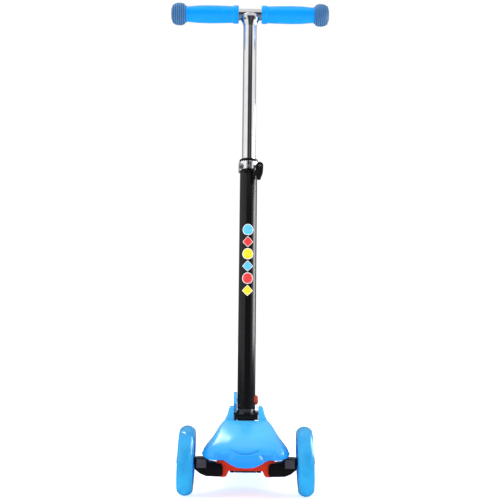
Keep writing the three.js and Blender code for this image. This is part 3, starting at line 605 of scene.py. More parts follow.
def ball_bearing(name, place, outer, inner):
    """Two rings with a shield sunk between them."""
    low, high = min(outer, inner), max(outer, inner)
    rings = [(4.2, low), (6, low, 0.2), (6.3, low + 0.7), (9.1, low + 0.7), (9.4, low, 0.2), (10.9, low, 0.4)]
    back = [(r, high - (x - low), *rest) for r, x, *rest in rings[::-1]]
    return lathe(name, rings + back, place, "x", sides=64, closed=True, steps=3)


def hexagon_screw(name, place, axis, radius, low, high, shank_r, shank_from, shank_to, outward=1):
    """A hexagon head with a chamfered rim, on its shank."""
    head = slab(name, ring_outline(radius, 6), low, high, place, axis, edge=0)
    face = high if outward > 0 else low
    foot = low if outward > 0 else high
    cone = [(radius * 1.3, foot), (radius * 1.3, face - outward * radius * 0.25), (radius * 0.86, face)]
    boolean(head, "INTERSECT", lathe("cone", cone, place, axis, sides=64))
    profile = [(shank_r - 0.6, shank_from), (shank_r, shank_from + 0.6), (shank_r, shank_to)]
    shank = lathe(name, profile, place, axis, sides=48)
    return fused(name, soften(head, 0.25, 2), shank)


def hexagon_nut(name, place, axis, radius, bore, low, high):
    nut = slab(name, ring_outline(radius, 6), low, high, place, axis, edge=0)
    face, wide, chamfer = radius * 0.88, radius * 1.2, radius * 0.22
    cone = [(face, low), (wide, low + chamfer), (wide, high - chamfer), (face, high)]
    boolean(nut, "INTERSECT", lathe("cone", cone, place, axis, sides=64))
    cut(nut, lathe("bore", [(bore, low - 1), (bore, high + 1)], place, axis, sides=48))
    return soften(nut, 0.25, 2)


def wheel(name, body, place, radius, width, rim, spokes):
    tread = tyre(f"{name}_tread", place, radius, width, rim + 0.3)
    fit(tread, body, TYRE_BLUE, "clear_blue_tyre", f"{name}_tyre")
    hub = wheel_hub(f"{name}_moulded_hub", place, rim, width, spokes)
    fit(hub, body, HUB_BLUE, "hub_blue", f"{name}_hub")


def bearings(name, body, place, near, far):
    """A bearing on each side of the wheel's middle, from near to far."""
    for end, at in ENDS:
        bearing = ball_bearing(f"{name}_{end}_race", place, at * far, at * near)
        fit(bearing, body, ZINC, "steel", f"{name}_{end}_bearing")


def front_wheel(side_name, side):
    place = wheel_frame(side)
    name = f"{side_name}_wheel"
    body = f"{side_name}_front_wheel"
    wheel(name, body, place, WHEEL_R, WHEEL_W, RIM_R, 6)
    band = [(33.3, -3.7), (36, -3.7, 0.5), (36, 3.7, 0.5), (33.3, 3.7)]
    light = lathe(f"{name}_glow_ring", band, place, "x", closed=True)
    fit(light, body, LIGHT_RING, "pale_blue_plastic", f"{name}_light_ring")
    bearings(name, body, place, 5.3, 12)
    bolt = hexagon_screw(f"{side_name}_axle_screw", place, "x", 6.5, 12.3, 17, 3.8, -40, 13)
    fit(bolt, "truck", ZINC, "steel", f"{side_name}_axle_bolt")


def rear_wheel():
    wheel("rear_wheel", "rear_wheel", REAR, REAR_WHEEL_R, REAR_WHEEL_W, REAR_RIM_R, 5)
    bearings("rear_wheel", "rear_wheel", REAR, 3.8, 10.5)
    bolt = hexagon_screw("rear_axle_screw", REAR, "x", 6.5, 31.4, 35.5, 3.8, -36, 32)
    fit(bolt, "chassis", ZINC, "steel", "rear_axle_bolt")
    nut = hexagon_nut("rear_axle_lock_nut", REAR, "x", 6.5, 4, -34.8, -31.4)
    fit(nut, "chassis", ZINC, "steel", "rear_axle_nut")


# ---- truck
def arms():
    """The beam under the housing: boxy ends at the wheels, rounded caps in front of the red shell."""
    cap = [
        (88, 48, 1.5), (88, 66, 2), (69, 66.8, 2), (64.5, 59.5, 2.5), (50, 57.5, 3), (39.2, 57, 10),
        (39.2, 35.6, 10), (50, 35.3, 4), (68, 36, 3), (78, 40, 4),
    ]
    limb = [
        (87.8, 48.2, 1.5), (87.8, 65.8, 2), (69, 66.5, 2), (64.5, 59.3, 2.5), (51.4, 57.4), (51.4, 35.6),
        (68, 36.3, 3), (78, 40.2, 4),
    ]
    parts = []
    for flip in (list, mirrored):
        parts.append(slab("cap", flip(cap), -20.4, -16.5, FRAME, "y", edge=1.2))
        parts.append(slab("limb", flip(limb), -20, 14, FRAME, "y", edge=1.4))
    for side in (-1, 1):
        spigot = [(6.5, -20), (6.5, -12.3, 0.6), (4.3, -12.3), (4.3, -20)]
        parts.append(lathe("spigot", spigot, wheel_frame(side), "x", sides=48, closed=True))
    parts.append(slab("bar", rectangle(-55, 48.5, 55, 57), -12, 12, FRAME, "y"))
    parts.append(slab("rib", rectangle(-34, 56, 34, 66), -8, 8, FRAME, "y"))
    boss = [(9, -15), (15, -15, 1), (15, 15, 1), (9, 15)]
    parts.append(lathe("boss", boss, KINGPIN, "y", sides=64, closed=True))
    beam = fused("cast_beam", *parts)
    fit(beam, "truck", ARM_BLACK, "black_plastic", "truck_beam")
    # The pads' pale grey is a painted highlight on the arms' black.
    for name, side in SIDES:
        fit(arm_pad(f"arm_pad_{name}", side), "truck", ARM_PAD_PAINTED_HIGHLIGHT, "black_plastic")


def arm_pad(name, side):
    """The flat pad on the front of an arm's boxy end, which faces a little upwards; its pale grey is a
    painted highlight.
    """
    rear = -19
    bm = bmesh.new()
    rings = []
    for z, front in ((50.5, -25.6), (65.2, -20.8)):
        corners = rectangle(side * 67.5, rear, side * 84.5, front)
        rings.append([bm.verts.new((x, y, z)) for x, y, _ in corners])
    stitch(bm, rings)
    return soften(made(name, bm, FRAME), 1.0)


def shell_outline(inset):
    low, side, middle_z = 34.3 + inset, 50.5 - inset, 45 + inset
    right = [
        (29 - 0.3 * inset, middle_z, 3), (33.5, low, 6), (side, low, 9.5), (side, 62, 1), (32, 62, 1),
        (30, 57, 1),
    ]
    return right + mirrored(right)


def red_shell():
    skin = slab("under_shell", shell_outline(0), -16, 16, FRAME, "y", edge=0)
    inside = slab("inside", shell_outline(2.4), -13.6, 13.6, FRAME, "y", edge=0)
    cut(inside, slab("middle", rectangle(-28, 30, 28, 47.4), -20, 20, FRAME, "y", edge=0))
    bar = slab("bar", rectangle(-60, 48, 60, 70), -12.5, 12.5, FRAME, "y", edge=0)
    rib = slab("rib", rectangle(-36, 50, 36, 70), -8.5, 8.5, FRAME, "y", edge=0)
    boss = lathe("boss", [(15.6, -30), (15.6, 30)], KINGPIN, "y", sides=64)
    cut(skin, inside, bar, rib, boss)
    for side in (-1, 1):
        place = shifted(FRAME, side * SHELL_SCREW_X, SHELL_SCREW_Y)
        cut(skin, lathe("hole", [(2.4, 40), (2.4, 57)], place, sides=32))
    soften(skin, 0.7, 3)
    fit(skin, "truck", RED, "red_plastic", "underbody_shell")


def cross_screw(name, place, head_r, low, high, shank_r, shank_to):
    """A pan head that faces down, with a cross recess."""
    cap = [(head_r - 0.9, low), (head_r, low + 1, 0.6), (head_r, high, 0.2), (0, high)]
    head = lathe(name, cap, place, sides=48)
    for u, v in ((2.6, 0.55), (0.55, 2.6)):
        cut(head, slab("slot", rectangle(-u, -v, u, v), low - 1, low + 1.1, place, edge=0))
    shank = lathe(name, [(shank_r, high - 0.2), (shank_r, shank_to, 0.5), (0, shank_to)], place, sides=32)
    return fused(name, head, shank)


def underbody_screws():
    for name, side in SIDES:
        place = shifted(FRAME, side * SHELL_SCREW_X, SHELL_SCREW_Y)
        screw = cross_screw(f"shell_screw_{name}", place, 4.2, 41.2, 44.7, 2.1, 56.5)
        fit(screw, "truck", BLACK, "black_plastic", f"underbody_screw_{name}")


def lean_bush():
    profile = [(5.3, -15), (8.7, -15, 0.6), (8.7, 15, 0.6), (5.3, 15)]
    bush = lathe("lean_rubber", profile, KINGPIN, "y", sides=64, closed=True)
    fit(bush, "truck", RUBBER, "rubber", "lean_spring_bush")


# ---- chassis
def bracket():
    """A steel strip, bent three times, with a tower for the hinge welded on its top."""
    line = [(-25, 56), (-25, 93, 7), (22, 93, 7), (22, 37.7, 6), (112, 37.7)]
    path = rounded(line, steps=8)
    half_thickness = 2
    left, right = [], []
    for i, point in enumerate(path):
        ahead = (path[min(i + 1, len(path) - 1)] - path[max(i - 1, 0)]).normalized()
        normal = Vector((-ahead.y, ahead.x)) * half_thickness
        left.append(tuple(point + normal))
        right.append(tuple(point - normal))
    strip = slab("strip", left + right[::-1], -19, 19, FRAME, "x", edge=0)
    cut(strip, lathe("hole", [(5.3, -60), (5.3, 60)], KINGPIN, "y", sides=48))
    outline = [(24, 65, 2), (42, 65, 2), (42, 121, 2), (30, 121, 1), (30, 127.7, 1), (24, 127.7, 1)]
    tower = slab("tower", outline, -15, 15, FRAME, "x", edge=0.8)
    weld = slab("weld", [(21.5, 90), (25.5, 94.5), (25.5, 90)], -14, 14, FRAME, "x", edge=0.8)
    steel = fused("bent_bracket", soften(strip, 0.5), tower, weld)
    fit(steel, "chassis", PRESSED_STEEL, "steel", "chassis_bracket")


def kingpin():
    pin = hexagon_screw("lean_kingpin", KINGPIN, "y", 9, -38, -32.5, 5, -34, 37, outward=-1)
    fit(pin, "chassis", ZINC, "steel", "kingpin")
    nut = hexagon_nut("lean_kingpin_nut", KINGPIN, "y", 9, 5.2, 29.3, 35)
    fit(nut, "chassis", ZINC, "steel", "kingpin_nut")


# The housing's levels: height, half width, front, rear, and how square its plan is.
HOUSING_LEVELS = [
    (46, 71, -50, 70, 3.4),
    (62, 75, -57, 76, 3.4),
    (75, 76, -59, 80, 3.4),
    (88, 68, -54, 78, 3.0),
    (100, 58.5, -42, 72, 2.6),
    (112, 50.5, -24, 64, 2.4),
    (122, 43.5, -4, 55, 2.4),
    (127.6, 38, 12, 49, 2.4),
]
WIDEST_AT = 0.34  # where the housing is widest, as a share of its length from the front


def eased(value, start, end):
    """From 0 at the start to 1 at the end, smoothly."""
    t = min(1.0, max(0.0, (value - start) / (end - start)))
    return t * t * (3 - 2 * t)


def level_at(z):
    """The housing's level at any height, on a smooth line through the levels given."""
    rows = HOUSING_LEVELS
    i = max(1, next((k for k, row in enumerate(rows) if row[0] >= z), len(rows) - 1))
    before, a, b, after = rows[max(i - 2, 0)], rows[i - 1], rows[i], rows[min(i + 1, len(rows) - 1)]
    span = b[0] - a[0]
    t = (z - a[0]) / span
    out = []
    for k in range(1, 5):
        slope_a = (b[k] - before[k]) / (b[0] - before[0]) * span
        slope_b = (after[k] - a[k]) / (after[0] - a[0]) * span
        out.append(
            a[k] * (2 * t**3 - 3 * t**2 + 1) + slope_a * (t**3 - 2 * t**2 + t)
            + b[k] * (3 * t**2 - 2 * t**3) + slope_b * (t**3 - t**2)
        )
    return out


def face_relief(x, z):
    """How far the front of the housing stands back: a crease like a smile, and cheeks beside the chin."""
    wide = abs(x)
    chin_edge = 20 + 0.55 * max(0.0, 76 - z)
    cheek = eased(wide, chin_edge, chin_edge + 8) * (1 - eased(wide, 42, 54)) * (1 - eased(z, 75, 85))
    crease_z = 78.6 + 0.0118 * x * x
    away = (z - crease_z) / 1.6
    crease = math.exp(-away * away) * (1 - eased(wide, 19, 27))
    brow_band = eased(z, crease_z - 2, crease_z + 1) * (1 - eased(z, crease_z + 3, crease_z + 16))
    brow = (1 - eased(wide, 20, 34)) * brow_band
    chin = (1 - eased(wide, 10, 32)) * (1 - eased(z, 70, 80)) * eased(z, 46, 58)
    return 7 * cheek + 3 * crease - 0.7 * brow - 0.9 * chin


def housing_skin(name, inset, lift):
    heights = [46 + 0.9 * k for k in range(90)] + [126.6, 127.2, 127.6]
    sides = 200
    bm = bmesh.new()
    rings = []
    for z in heights:
        half, front, rear, power = level_at(z)
        tuck = 1.1 * eased(z, 125.6, 127.6) ** 2
        half -= inset + tuck
        widest = front + WIDEST_AT * (rear - front)
        reach_front, reach_rear = widest - front - inset - tuck, rear - widest - inset - tuck
        ring = []
        for i in range(sides):
            c, s = math.cos(2 * math.pi * i / sides), math.sin(2 * math.pi * i / sides)
            x = half * math.copysign(abs(c) ** (2 / power), c)
            y = widest + (reach_front if s < 0 else reach_rear) * math.copysign(abs(s) ** (2 / power), s)
            if s < 0:
                y += face_relief(x, z) * eased(-s, 0.2, 0.6)
            ring.append(bm.verts.new((x, y, z - lift)))
        rings.append(ring)
    stitch(bm, rings)
    return made(name, bm, FRAME)


def box_tool(x0, y0, z0, x1, y1, z1):
    return slab("tool", rectangle(x0, y0, x1, y1), z0, z1, FRAME, edge=0)


def ear_piece(flip):
    outline = [
        (21.7, 112), (21.7, 151, 2), (28.5, 151, 2.5), (30.8, 146, 4), (33, 137, 12), (37.5, 127, 12),
        (43, 114),
    ]
    return baked(slab("ear", flip(outline), 21, 47, FRAME, "y", edge=1.4))


def housing():
    skin = housing_skin("blue_housing", 0, 0)
    inside = housing_skin("inside", 3, 3)
    cut(skin, inside)
    boolean(skin, "UNION", ear_piece(mirrored), ear_piece(list))
    side_edge = [
        (90, 20), (90, 77), (76, 77, 3), (72, 72.5, 4), (66, 69.5, 5), (57, 67.5, 5), (38, 67.5, 6),
        (31, 64, 8), (24, 60, 8), (15, 56, 10),
    ]
    under = [*side_edge, (0, 54.5, 10), *mirrored(side_edge)]
    tools = [slab("under", under, -80, 100, FRAME, "y", edge=0)]
    for box in (
        (-90, -26, 30, -38, 23, 83),  # room for the left arm
        (38, -26, 30, 90, 23, 83),  # and the right one
        (-70, 30, 20, 70, 100, 66.5),  # the deck's front end
        (-21.7, 14, 124, 21.7, 80, 170),  # the gap between the ears
        (-15.5, 23, 100, 15.5, 43, 130),  # the bracket's tower
        (-22.8, 60.6, 90, -16.3, 72.4, 130),  # the latch plate
    ):
        tools.append(box_tool(*box))
    hinge = Matrix.Translation(HINGE)
    bore = [(7.2, -60), (7.2, -25.5), (4.3, -25.5), (4.3, 25.5), (7.2, 25.5), (7.2, 60)]
    tools.append(lathe("bore", bore, hinge, "x", sides=64))
    cut(skin, *tools)
    posts = []
    for side in (-1, 1):
        place = shifted(FRAME, side * COVER_SCREW_X, COVER_SCREW_Y)
        posts.append(lathe("post", rectangle(2.1, 66.5, 5, 84), place, sides=40, closed=True))
    soften(skin, 0.7, 2, degrees=50)
    shell = fused("blue_housing", skin, *posts)
    fit(shell, "chassis", BLUE, "blue_plastic", "front_housing")


def cover_screws():
    for name, side in SIDES:
        place = shifted(FRAME, side * COVER_SCREW_X, COVER_SCREW_Y)
        screw = cross_screw(f"housing_screw_{name}", place, 4, 36.8, 39.7, 1.8, 76)
        fit(screw, "chassis", ZINC, "steel", f"cover_screw_{name}")


def latch():
    """The upright plate beside the post, with the open track that the lock pin runs in."""
    outline = [
        (72, 96, 2), (72, 174.5, 9), (32, 174.5, 2), (27, 168.5, 2), (27, 155, 2), (61, 155, 3), (61, 96, 2),
    ]
    plate = slab("latch_blade", outline, -22.4, -16.7, FRAME, "x", edge=0)
    hinge_y, hinge_z = 34, 140
    upright = 90 - math.degrees(POST_LEAN)
    folded = 11.5
    outer = arc(hinge_y, hinge_z, BUTTON_AT + LATCH_TRACK_R, folded, upright, 24)
    inner = arc(hinge_y, hinge_z, BUTTON_AT - LATCH_TRACK_R, upright, folded, 24)
    seat_y = hinge_y + BUTTON_AT * math.sin(POST_LEAN)
    seat_z = hinge_z + BUTTON_AT * math.cos(POST_LEAN)
    seat = arc(seat_y, seat_z, LATCH_TRACK_R, upright, upright + 180, 12)
    cut(plate, slab("track", outer + seat[1:-1] + inner, -30, -10, FRAME, "x", edge=0))
    soften(plate, 0.9, 3)
    fit(plate, "chassis", LATCH_BLUE, "pale_blue_plastic", "latch_plate")


def hinge_fasteners():
    hinge = Matrix.Translation(HINGE)
    profile = [
        (3.4, -30), (4, -29.4), (4, 25.8), (6.8, 25.8, 0.3), (6.8, 28, 1.4), (4, 29.8, 1), (0, 29.8),
    ]
    bolt = lathe("hinge_pivot_screw", profile, hinge, "x", sides=64)
    cut(bolt, slab("socket", ring_outline(2.6, 6), 27.5, 32, hinge, "x", edge=0))
    fit(bolt, "chassis", ZINC, "steel", "hinge_bolt")
    nut = hexagon_nut("hinge_lock_nut", hinge, "x", 6.8, 4.2, -29.8, -25.8)
    fit(nut, "chassis", ZINC, "steel", "hinge_nut")


# ---- deck and brake
def deck_outline():
    right = [
        (37, 44, 4), (40, 60, 10), (48, 92, 30), (52, 120, 40), (52, 250, 60), (49, 310, 60), (42, 355, 20),
        (31, 385, 8), (31, 422, 6), (28, 434, 3), (17.5, 436, 2), (17.5, 372, 6),
    ]
    return rounded(right + mirrored(right), True, steps=8)


def deck():
    board = slab("deck_board", deck_outline(), 40, 64, FRAME, edge=0)
    legs, lugs = [], []
    for side in (-1, 1):
        leg = [(385, 41, 2), (411, 31, 6), (420, 27, 8), (429, 31, 6), (433, 41, 2), (433, 48), (385, 48)]
        legs.append(slab("leg", leg, *sorted((side * 17.6, side * 27.9)), FRAME, "x", edge=0))
        lug = [(362, 60), (364, 76, 4), (376, 76, 4), (383, 60)]
        lugs.append(slab("lug", lug, *sorted((side * 21.5, side * 28.5)), FRAME, "x", edge=0))
    boolean(board, "UNION", *legs, *lugs)
    tools = []
    for front, rear in ((125, 195), (201, 271), (277, 340)):
        half = 38 if front > 270 else 46
        for side in (-1, 1):
            pocket = rectangle(side * 3, front, side * half, rear, 4)
            tools.append(slab("pocket", pocket, 35, 59, FRAME, edge=0))
    tools.append(slab("recess", rectangle(-43.3, 103.7, 43.3, 346.3, 6), 62.5, 80, FRAME, edge=0))
    tools.append(lathe("axle", [(4.3, -50), (4.3, 50)], REAR, "x", sides=48))
    tools.append(lathe("pin", [(2.8, -50), (2.8, 50)], Matrix.Translation(BRAKE_PIN), "x", sides=40))
    cut(board, *tools)
    soften(board, 2.2, 4, degrees=50)
    fit(board, "chassis", DECK_BLUE, "blue_plastic", "deck")


def mat():
    """A thin rubber mat with rows of raised lozenges."""
    sheet = slab("tread_mat", rectangle(-43, 104, 43, 346, 5.7), 62.8, 64.2, FRAME, edge=0.3)
    stud = ((3.6, 0), (0, 2.6), (-3.6, 0), (0, -2.6))
    bm = bmesh.new()
    rows, columns, pitch = 26, 9, 9
    for row in range(rows):
        shift = 0.5 * (row % 2)
        for column in range(columns - row % 2):
            x = (column + shift - (columns - 1) / 2) * pitch
            y = 113 + row * pitch
            foot = [bm.verts.new((x + u, y + v, 64.1)) for u, v in stud]
            top = [bm.verts.new((x + 0.8 * u, y + 0.8 * v, 65.1)) for u, v in stud]
            stitch(bm, [foot, top])
    studs = soften(made("studs", bm, FRAME), 0.25, 2)
    rubber = fused("tread_mat", sheet, studs)
    fit(rubber, "chassis", RUBBER, "rubber", "deck_mat")


def deck_screws():
    for name, y in (("front", 60), ("rear", 96)):
        screw = cross_screw(f"deck_fixing_{name}", shifted(FRAME, 0, y), 6, 31.5, 34.8, 3, 55)
        fit(screw, "chassis", ZINC, "steel", f"deck_screw_{name}")


def guard_blade():
    """The mudguard's curved blade, with its sides turned down and its rear end narrower."""
    columns, steps = 17, 40
    bm = bmesh.new()
    rings = []
    for k in range(steps + 1):
        angle = math.radians(8 + 130 * k / steps)
        taper = 1 - 0.16 * (1 - eased(k, 0, 8))
        ring = []
        for reach, turn_down, half in ((51, 2.4, 21), (47.6, 0.84, -20.37)):
            for i in range(columns):
                u = 2 * i / (columns - 1) - 1
                radius = reach - turn_down * abs(u) ** 6
                x = half * taper * u
                ring.append(bm.verts.new((x, radius * math.cos(angle), radius * math.sin(angle))))
        rings.append(ring)
    stitch(bm, rings)
    return soften(made("guard", bm, REAR), 0.6)


def brake():
    """The sprung mudguard, hinged in front of the rear wheel, with its pad, spring and pin."""
    guard = guard_blade()
    neck = slab("neck", [(370, 70), (370, 74.5), (389, 81.5), (389, 76)], -20.8, 20.8, FRAME, "x", edge=0.8)
    pin = Matrix.Translation(BRAKE_PIN)
    barrels = []
    for low, high in ((-21, -8), (8, 21)):
        profile = [(2.8, low), (5, low, 0.5), (5, high, 0.5), (2.8, high)]
        barrels.append(lathe("barrel", profile, pin, "x", sides=48, closed=True))
    cut(baked(neck), slab("gap", rectangle(361, 61, 377, 79.5), -8, 8, FRAME, "x", edge=0))
    ribs = []
    for x in (-9, 0, 9):
        outline = arc(0, 0, 51.6, 40, 92, 24) + arc(0, 0, 49.5, 92, 40, 24)
        ribs.append(slab("rib", outline, x - 1.3, x + 1.3, REAR, "x", edge=0.5))
    fender = fused("brake_guard", guard, neck, *barrels, *ribs)
    fit(fender, "brake", DECK_BLUE, "blue_plastic", "brake_fender")
    shoe = arc(0, 0, 47.2, 72, 108, 16) + arc(0, 0, 45.7, 108, 72, 16)
    plate = slab("brake_shoe", shoe, -9, 9, REAR, "x", edge=0.3)
    fit(plate, "brake", PRESSED_STEEL, "steel", "brake_pad")
    spring = coil("brake_return_spring", 3.9, 0.7, -6.5, 6.5, 6, pin, "x")
    fit(spring, "brake", ZINC, "steel", "brake_spring")
    profile = [(2.2, -30), (2.5, -29.6), (2.5, 28.9), (4, 28.9, 0.2), (4, 30.4, 0.8), (2.6, 31, 0.4), (0, 31)]
    rod = lathe("brake_hinge_pin", profile, pin, "x", sides=48)
    fit(rod, "chassis", ZINC, "steel", "brake_pin")


# ---- post
def hinge_block():
    """The block under the post: flat below, round behind, with the post's flared foot on top."""
    hinge = Matrix.Translation(HINGE)
    outline = [(-12, -12, 1.5), *arc(0, 0, 12, -90, -8, 14), (-12, -1.6, 1)]
    body = slab("hinge_foot", outline, -20.9, 20.9, hinge, "x", edge=0)
    flare = [(0, -4), (17.5, -4), (17.5, -0.4, 0.8), (15.7, 5.6, 0.6), (13, 5.6), (13, 9), (0, 9)]
    boolean(body, "UNION", lathe("neck", flare, POST))
    cut(body, lathe("bore", [(4.3, -60), (4.3, 60)], hinge, "x", sides=48))
    soften(body, 0.8, 3)
    fit(body, "post", BLOCK_BLACK, "black_plastic", "hinge_block")


def lower_tube():
    profile = [(13.4, 6.2), (LOWER_TUBE_R, 6.2, 0.4), (LOWER_TUBE_R, COLLAR_TOP, 0.4), (13.4, COLLAR_TOP)]
    tube = lathe("painted_tube", profile, POST, sides=128, closed=True, steps=3)
    cut(tube, lathe("hole", [(8.8, 5), (8.8, 30)], BUTTON, "x", sides=48))
    cut(tube, lathe("hole", [(3.1, -30), (3.1, -5)], BUTTON, "x", sides=32))
    fit(tube, "post", TUBE_BLACK, "black_paint", "lower_tube")


def wrapped(name, outline, radius, thickness, place):
    """A flat shape, drawn as (across, up) points, wrapped as a thin skin on the front of a tube."""
    bm = bmesh.new()
    bm.faces.new([bm.verts.new((u, v, 0)) for u, v in outline])
    bmesh.ops.triangulate(bm, faces=bm.faces)
    reach_across = math.ceil(max(u for u, v in outline))
    for across in range(-reach_across, reach_across + 1):
        everything = bm.verts[:] + bm.edges[:] + bm.faces[:]
        bmesh.ops.bisect_plane(bm, geom=everything, plane_co=(across, 0, 0), plane_no=(1, 0, 0))
    shell = bmesh.ops.extrude_face_region(bm, geom=bm.faces[:])
    for vert in shell["geom"]:
        if isinstance(vert, bmesh.types.BMVert):
            vert.co.z = thickness
    for vert in bm.verts:
        u, v, lift = vert.co
        angle = u / radius
        reach = radius + lift
        vert.co = (reach * math.sin(angle), -reach * math.cos(angle), v)
    return made(name, bm, place)


def disc(height, radius):
    return [(u, height + v) for u, v in ring_outline(radius, 40)]


def lozenge(height, half):
    corners = [(half, height, 1), (0, height + half, 1), (-half, height, 1), (0, height - half, 1)]
    return rounded(corners, closed=True)


# An even row of plain dots and lozenges down the front of the lower tube, in three inks in turn.
TRANSFER_INKS = (YELLOW_INK, RED_INK, SKY_INK)
TRANSFER_COUNT = 6
TRANSFERS_FROM = 217  # the lowest one's height along the post
TRANSFER_PITCH = 22.5
TRANSFER_R = 9.2
TRANSFER_EDGE = 1.2


def transfers():
    on_tube = LOWER_TUBE_R + 0.02
    for index in range(TRANSFER_COUNT):
        height = TRANSFERS_FROM + TRANSFER_PITCH * index
        draw = disc if index % 2 else lozenge
        rim = draw(height, TRANSFER_R + TRANSFER_EDGE)
        edge = wrapped(f"transfer_edge_{index + 1}", rim, on_tube, 0.1, POST)
        fit(edge, "post", WHITE_INK, "black_paint")
        shape = wrapped(f"transfer_{index + 1}", draw(height, TRANSFER_R), on_tube, 0.18, POST)
        fit(shape, "post", TRANSFER_INKS[index % len(TRANSFER_INKS)], "black_paint")


def release():
    """The button on one side of the post's foot, the lock pin that it pushes, and their spring."""
    face = [(0, 7.5), (8.5, 7.5), (8.5, 17, 1), (7.6, 19.6, 2), (4.5, 21, 2), (0, 21)]
    button = lathe("red_button", face, BUTTON, "x", sides=72)
    cut(button, lathe("dish", [(0, 20.2), (3.4, 20.9), (3.4, 23), (0, 23)], BUTTON, "x", sides=48))
    fit(button, "release", BUTTON_RED, "red_plastic", "release_button")
    profile = [
        (0, -20.5), (2.8, -20.5, 0.5), (2.8, -18.4, 0.2), (1.7, -17.8, 0.4), (1.7, -13, 0.4),
        (2.8, -12.4, 0.2), (2.8, 3.2, 0.4), (5, 3.2, 0.3), (5, 7.2), (0, 7.2),
    ]
    pin = lathe("latch_pin", profile, BUTTON, "x", sides=48)
    fit(pin, "release", ZINC, "steel", "lock_pin")
    spring = coil("button_return_spring", 4.2, 0.6, -10.8, -4.6, 5, BUTTON, "x")
    fit(spring, "post", ZINC, "steel", "button_spring")


def collar():
    """The split collar with its two lugs."""
    band = [(16.3, COLLAR_FOOT), (19, COLLAR_FOOT, 0.9), (19, COLLAR_TOP, 0.9), (16.3, COLLAR_TOP)]
    ring = lathe("split_collar", band, POST, sides=128, closed=True)
    for side in (-1, 1):
        snout = [(side * u, v) for u, v in arc(0, -11.5, 16, -86.4, -42, 12)]
        lug = [(side * 1, -17), *snout, (side * 12, -19, 2), (side * 15, -11)]
        boolean(ring, "UNION", slab("lug", lug, COLLAR_FOOT + 0.1, LUG_TOP, POST, edge=0))
    space = lathe("space", [(16.3, 430), (16.3, 480)], POST, sides=128)
    slit = slab("slit", rectangle(-1, -40, 1, 0), 430, 480, POST, edge=0)
    hole = lathe("hole", [(2.9, -30), (2.9, 30)], SKEWER, "x", sides=40)
    cut(ring, space, slit, hole)
    soften(ring, 0.5, 3, degrees=45)
    fit(ring, "post", SATIN_CHROME, "chrome", "clamp_collar")


def tube_lip():
    """The plastic bush between the tubes, whose lip stands above the collar."""
    profile = [
        (12.9, 420), (13.25, 420), (13.25, 460.3), (17.3, 460.3, 0.3), (17.3, 465, 0.8), (16.2, 466.3, 0.6),
        (12.9, 466.3),
    ]
    bush = lathe("tube_lip", profile, POST, sides=128, closed=True)
    fit(bush, "post", BLACK, "black_plastic", "tube_bush")


def skewer():
    nut = hexagon_nut("skewer_nut", SKEWER, "x", 5, 2.7, -16.5, -12.3)
    fit(nut, "post", ZINC, "steel", "clamp_nut")
    profile = [(2.3, -3), (4.6, -3, 0.4), (4.6, 3, 0.4), (2.3, 3)]
    eye = lathe("skewer", profile, CAM, "y", sides=48, closed=True)
    shank = lathe("shank", [(2, -17.5), (2.5, -17), (2.5, CAM_X - 3)], SKEWER, "x", sides=40)
    fit(fused("cam_skewer", eye, shank), "post", ZINC, "steel", "clamp_skewer")


def lever():
    """The hanging cam lever, forked around the skewer's eye and split at its end."""
    outline = [
        *arc(0, 0, 7, 180, 0, 16), (6.3, -12, 20), (2.6, -22, 4), (1.8, -25, 2.5), (-4.8, -25, 2.5),
        (-5.6, -17, 0.6), (-7, -17, 0.6), (-7.4, -25, 0.8), (-11, -24.6, 0.8), (-10.8, -14, 8), (-7, -8, 4),
    ]
    arm = slab("cam_lever", outline, -5, 5, CAM, "y", edge=0)
    fork = slab("fork", rectangle(-20, -8, 20, 20), -3.4, 3.4, CAM, "y", edge=0)
    cut(arm, fork, lathe("bore", [(2.2, -20), (2.2, 20)], CAM, "y", sides=40))
    soften(arm, 1.0, 3, degrees=45)
    fit(arm, "lever", BLACK, "black_plastic", "clamp_lever")
    pin = lathe("cam_pin", [(0, -5.5), (1.9, -5.5, 0.4), (1.9, 5, 0.4), (0, 5)], CAM, "y", sides=40)
    fit(pin, "lever", ZINC, "steel", "lever_pin")


# ---- handlebar
def upper_tube():
    walls = rectangle(11.2, UPPER_TUBE_FOOT, UPPER_TUBE_R, CROSSBAR_AT)
    tube = lathe("chrome_tube", walls, POST, sides=160, closed=True)
    cut(tube, lathe("saddle", [(11.05, -40), (11.05, 40)], CROSSBAR, "x", sides=128))
    fit(tube, "handlebar", CHROME, "chrome", "upper_tube")


def crossbar():
    profile = [(9.5, -140), (CROSSBAR_R, -140, 0.3), (CROSSBAR_R, 140, 0.3), (9.5, 140)]
    bar = lathe("chrome_crossbar", profile, CROSSBAR, "x", sides=128, closed=True)
    fit(bar, "handlebar", CHROME, "chrome", "crossbar")


def weld():
    """The fillet where the upright flares out, mostly along the crossbar that is welded to it."""
    def flare(angle, along):
        return 1 + 0.2 * math.cos(angle) ** 2 * eased(along, -24, -8)

    profile = [
        (12.6, -28), (12.9, -23, 6), (13.8, -15, 8), (15.6, -8.5, 3), (15, -3.5, 4), (10.5, 1, 4), (0, 2.5),
    ]
    fillet = lathe("weld_fillet", profile, CROSSBAR, sides=128, ripple=flare, steps=8)
    fit(fillet, "handlebar", WELD_STEEL, "chrome")


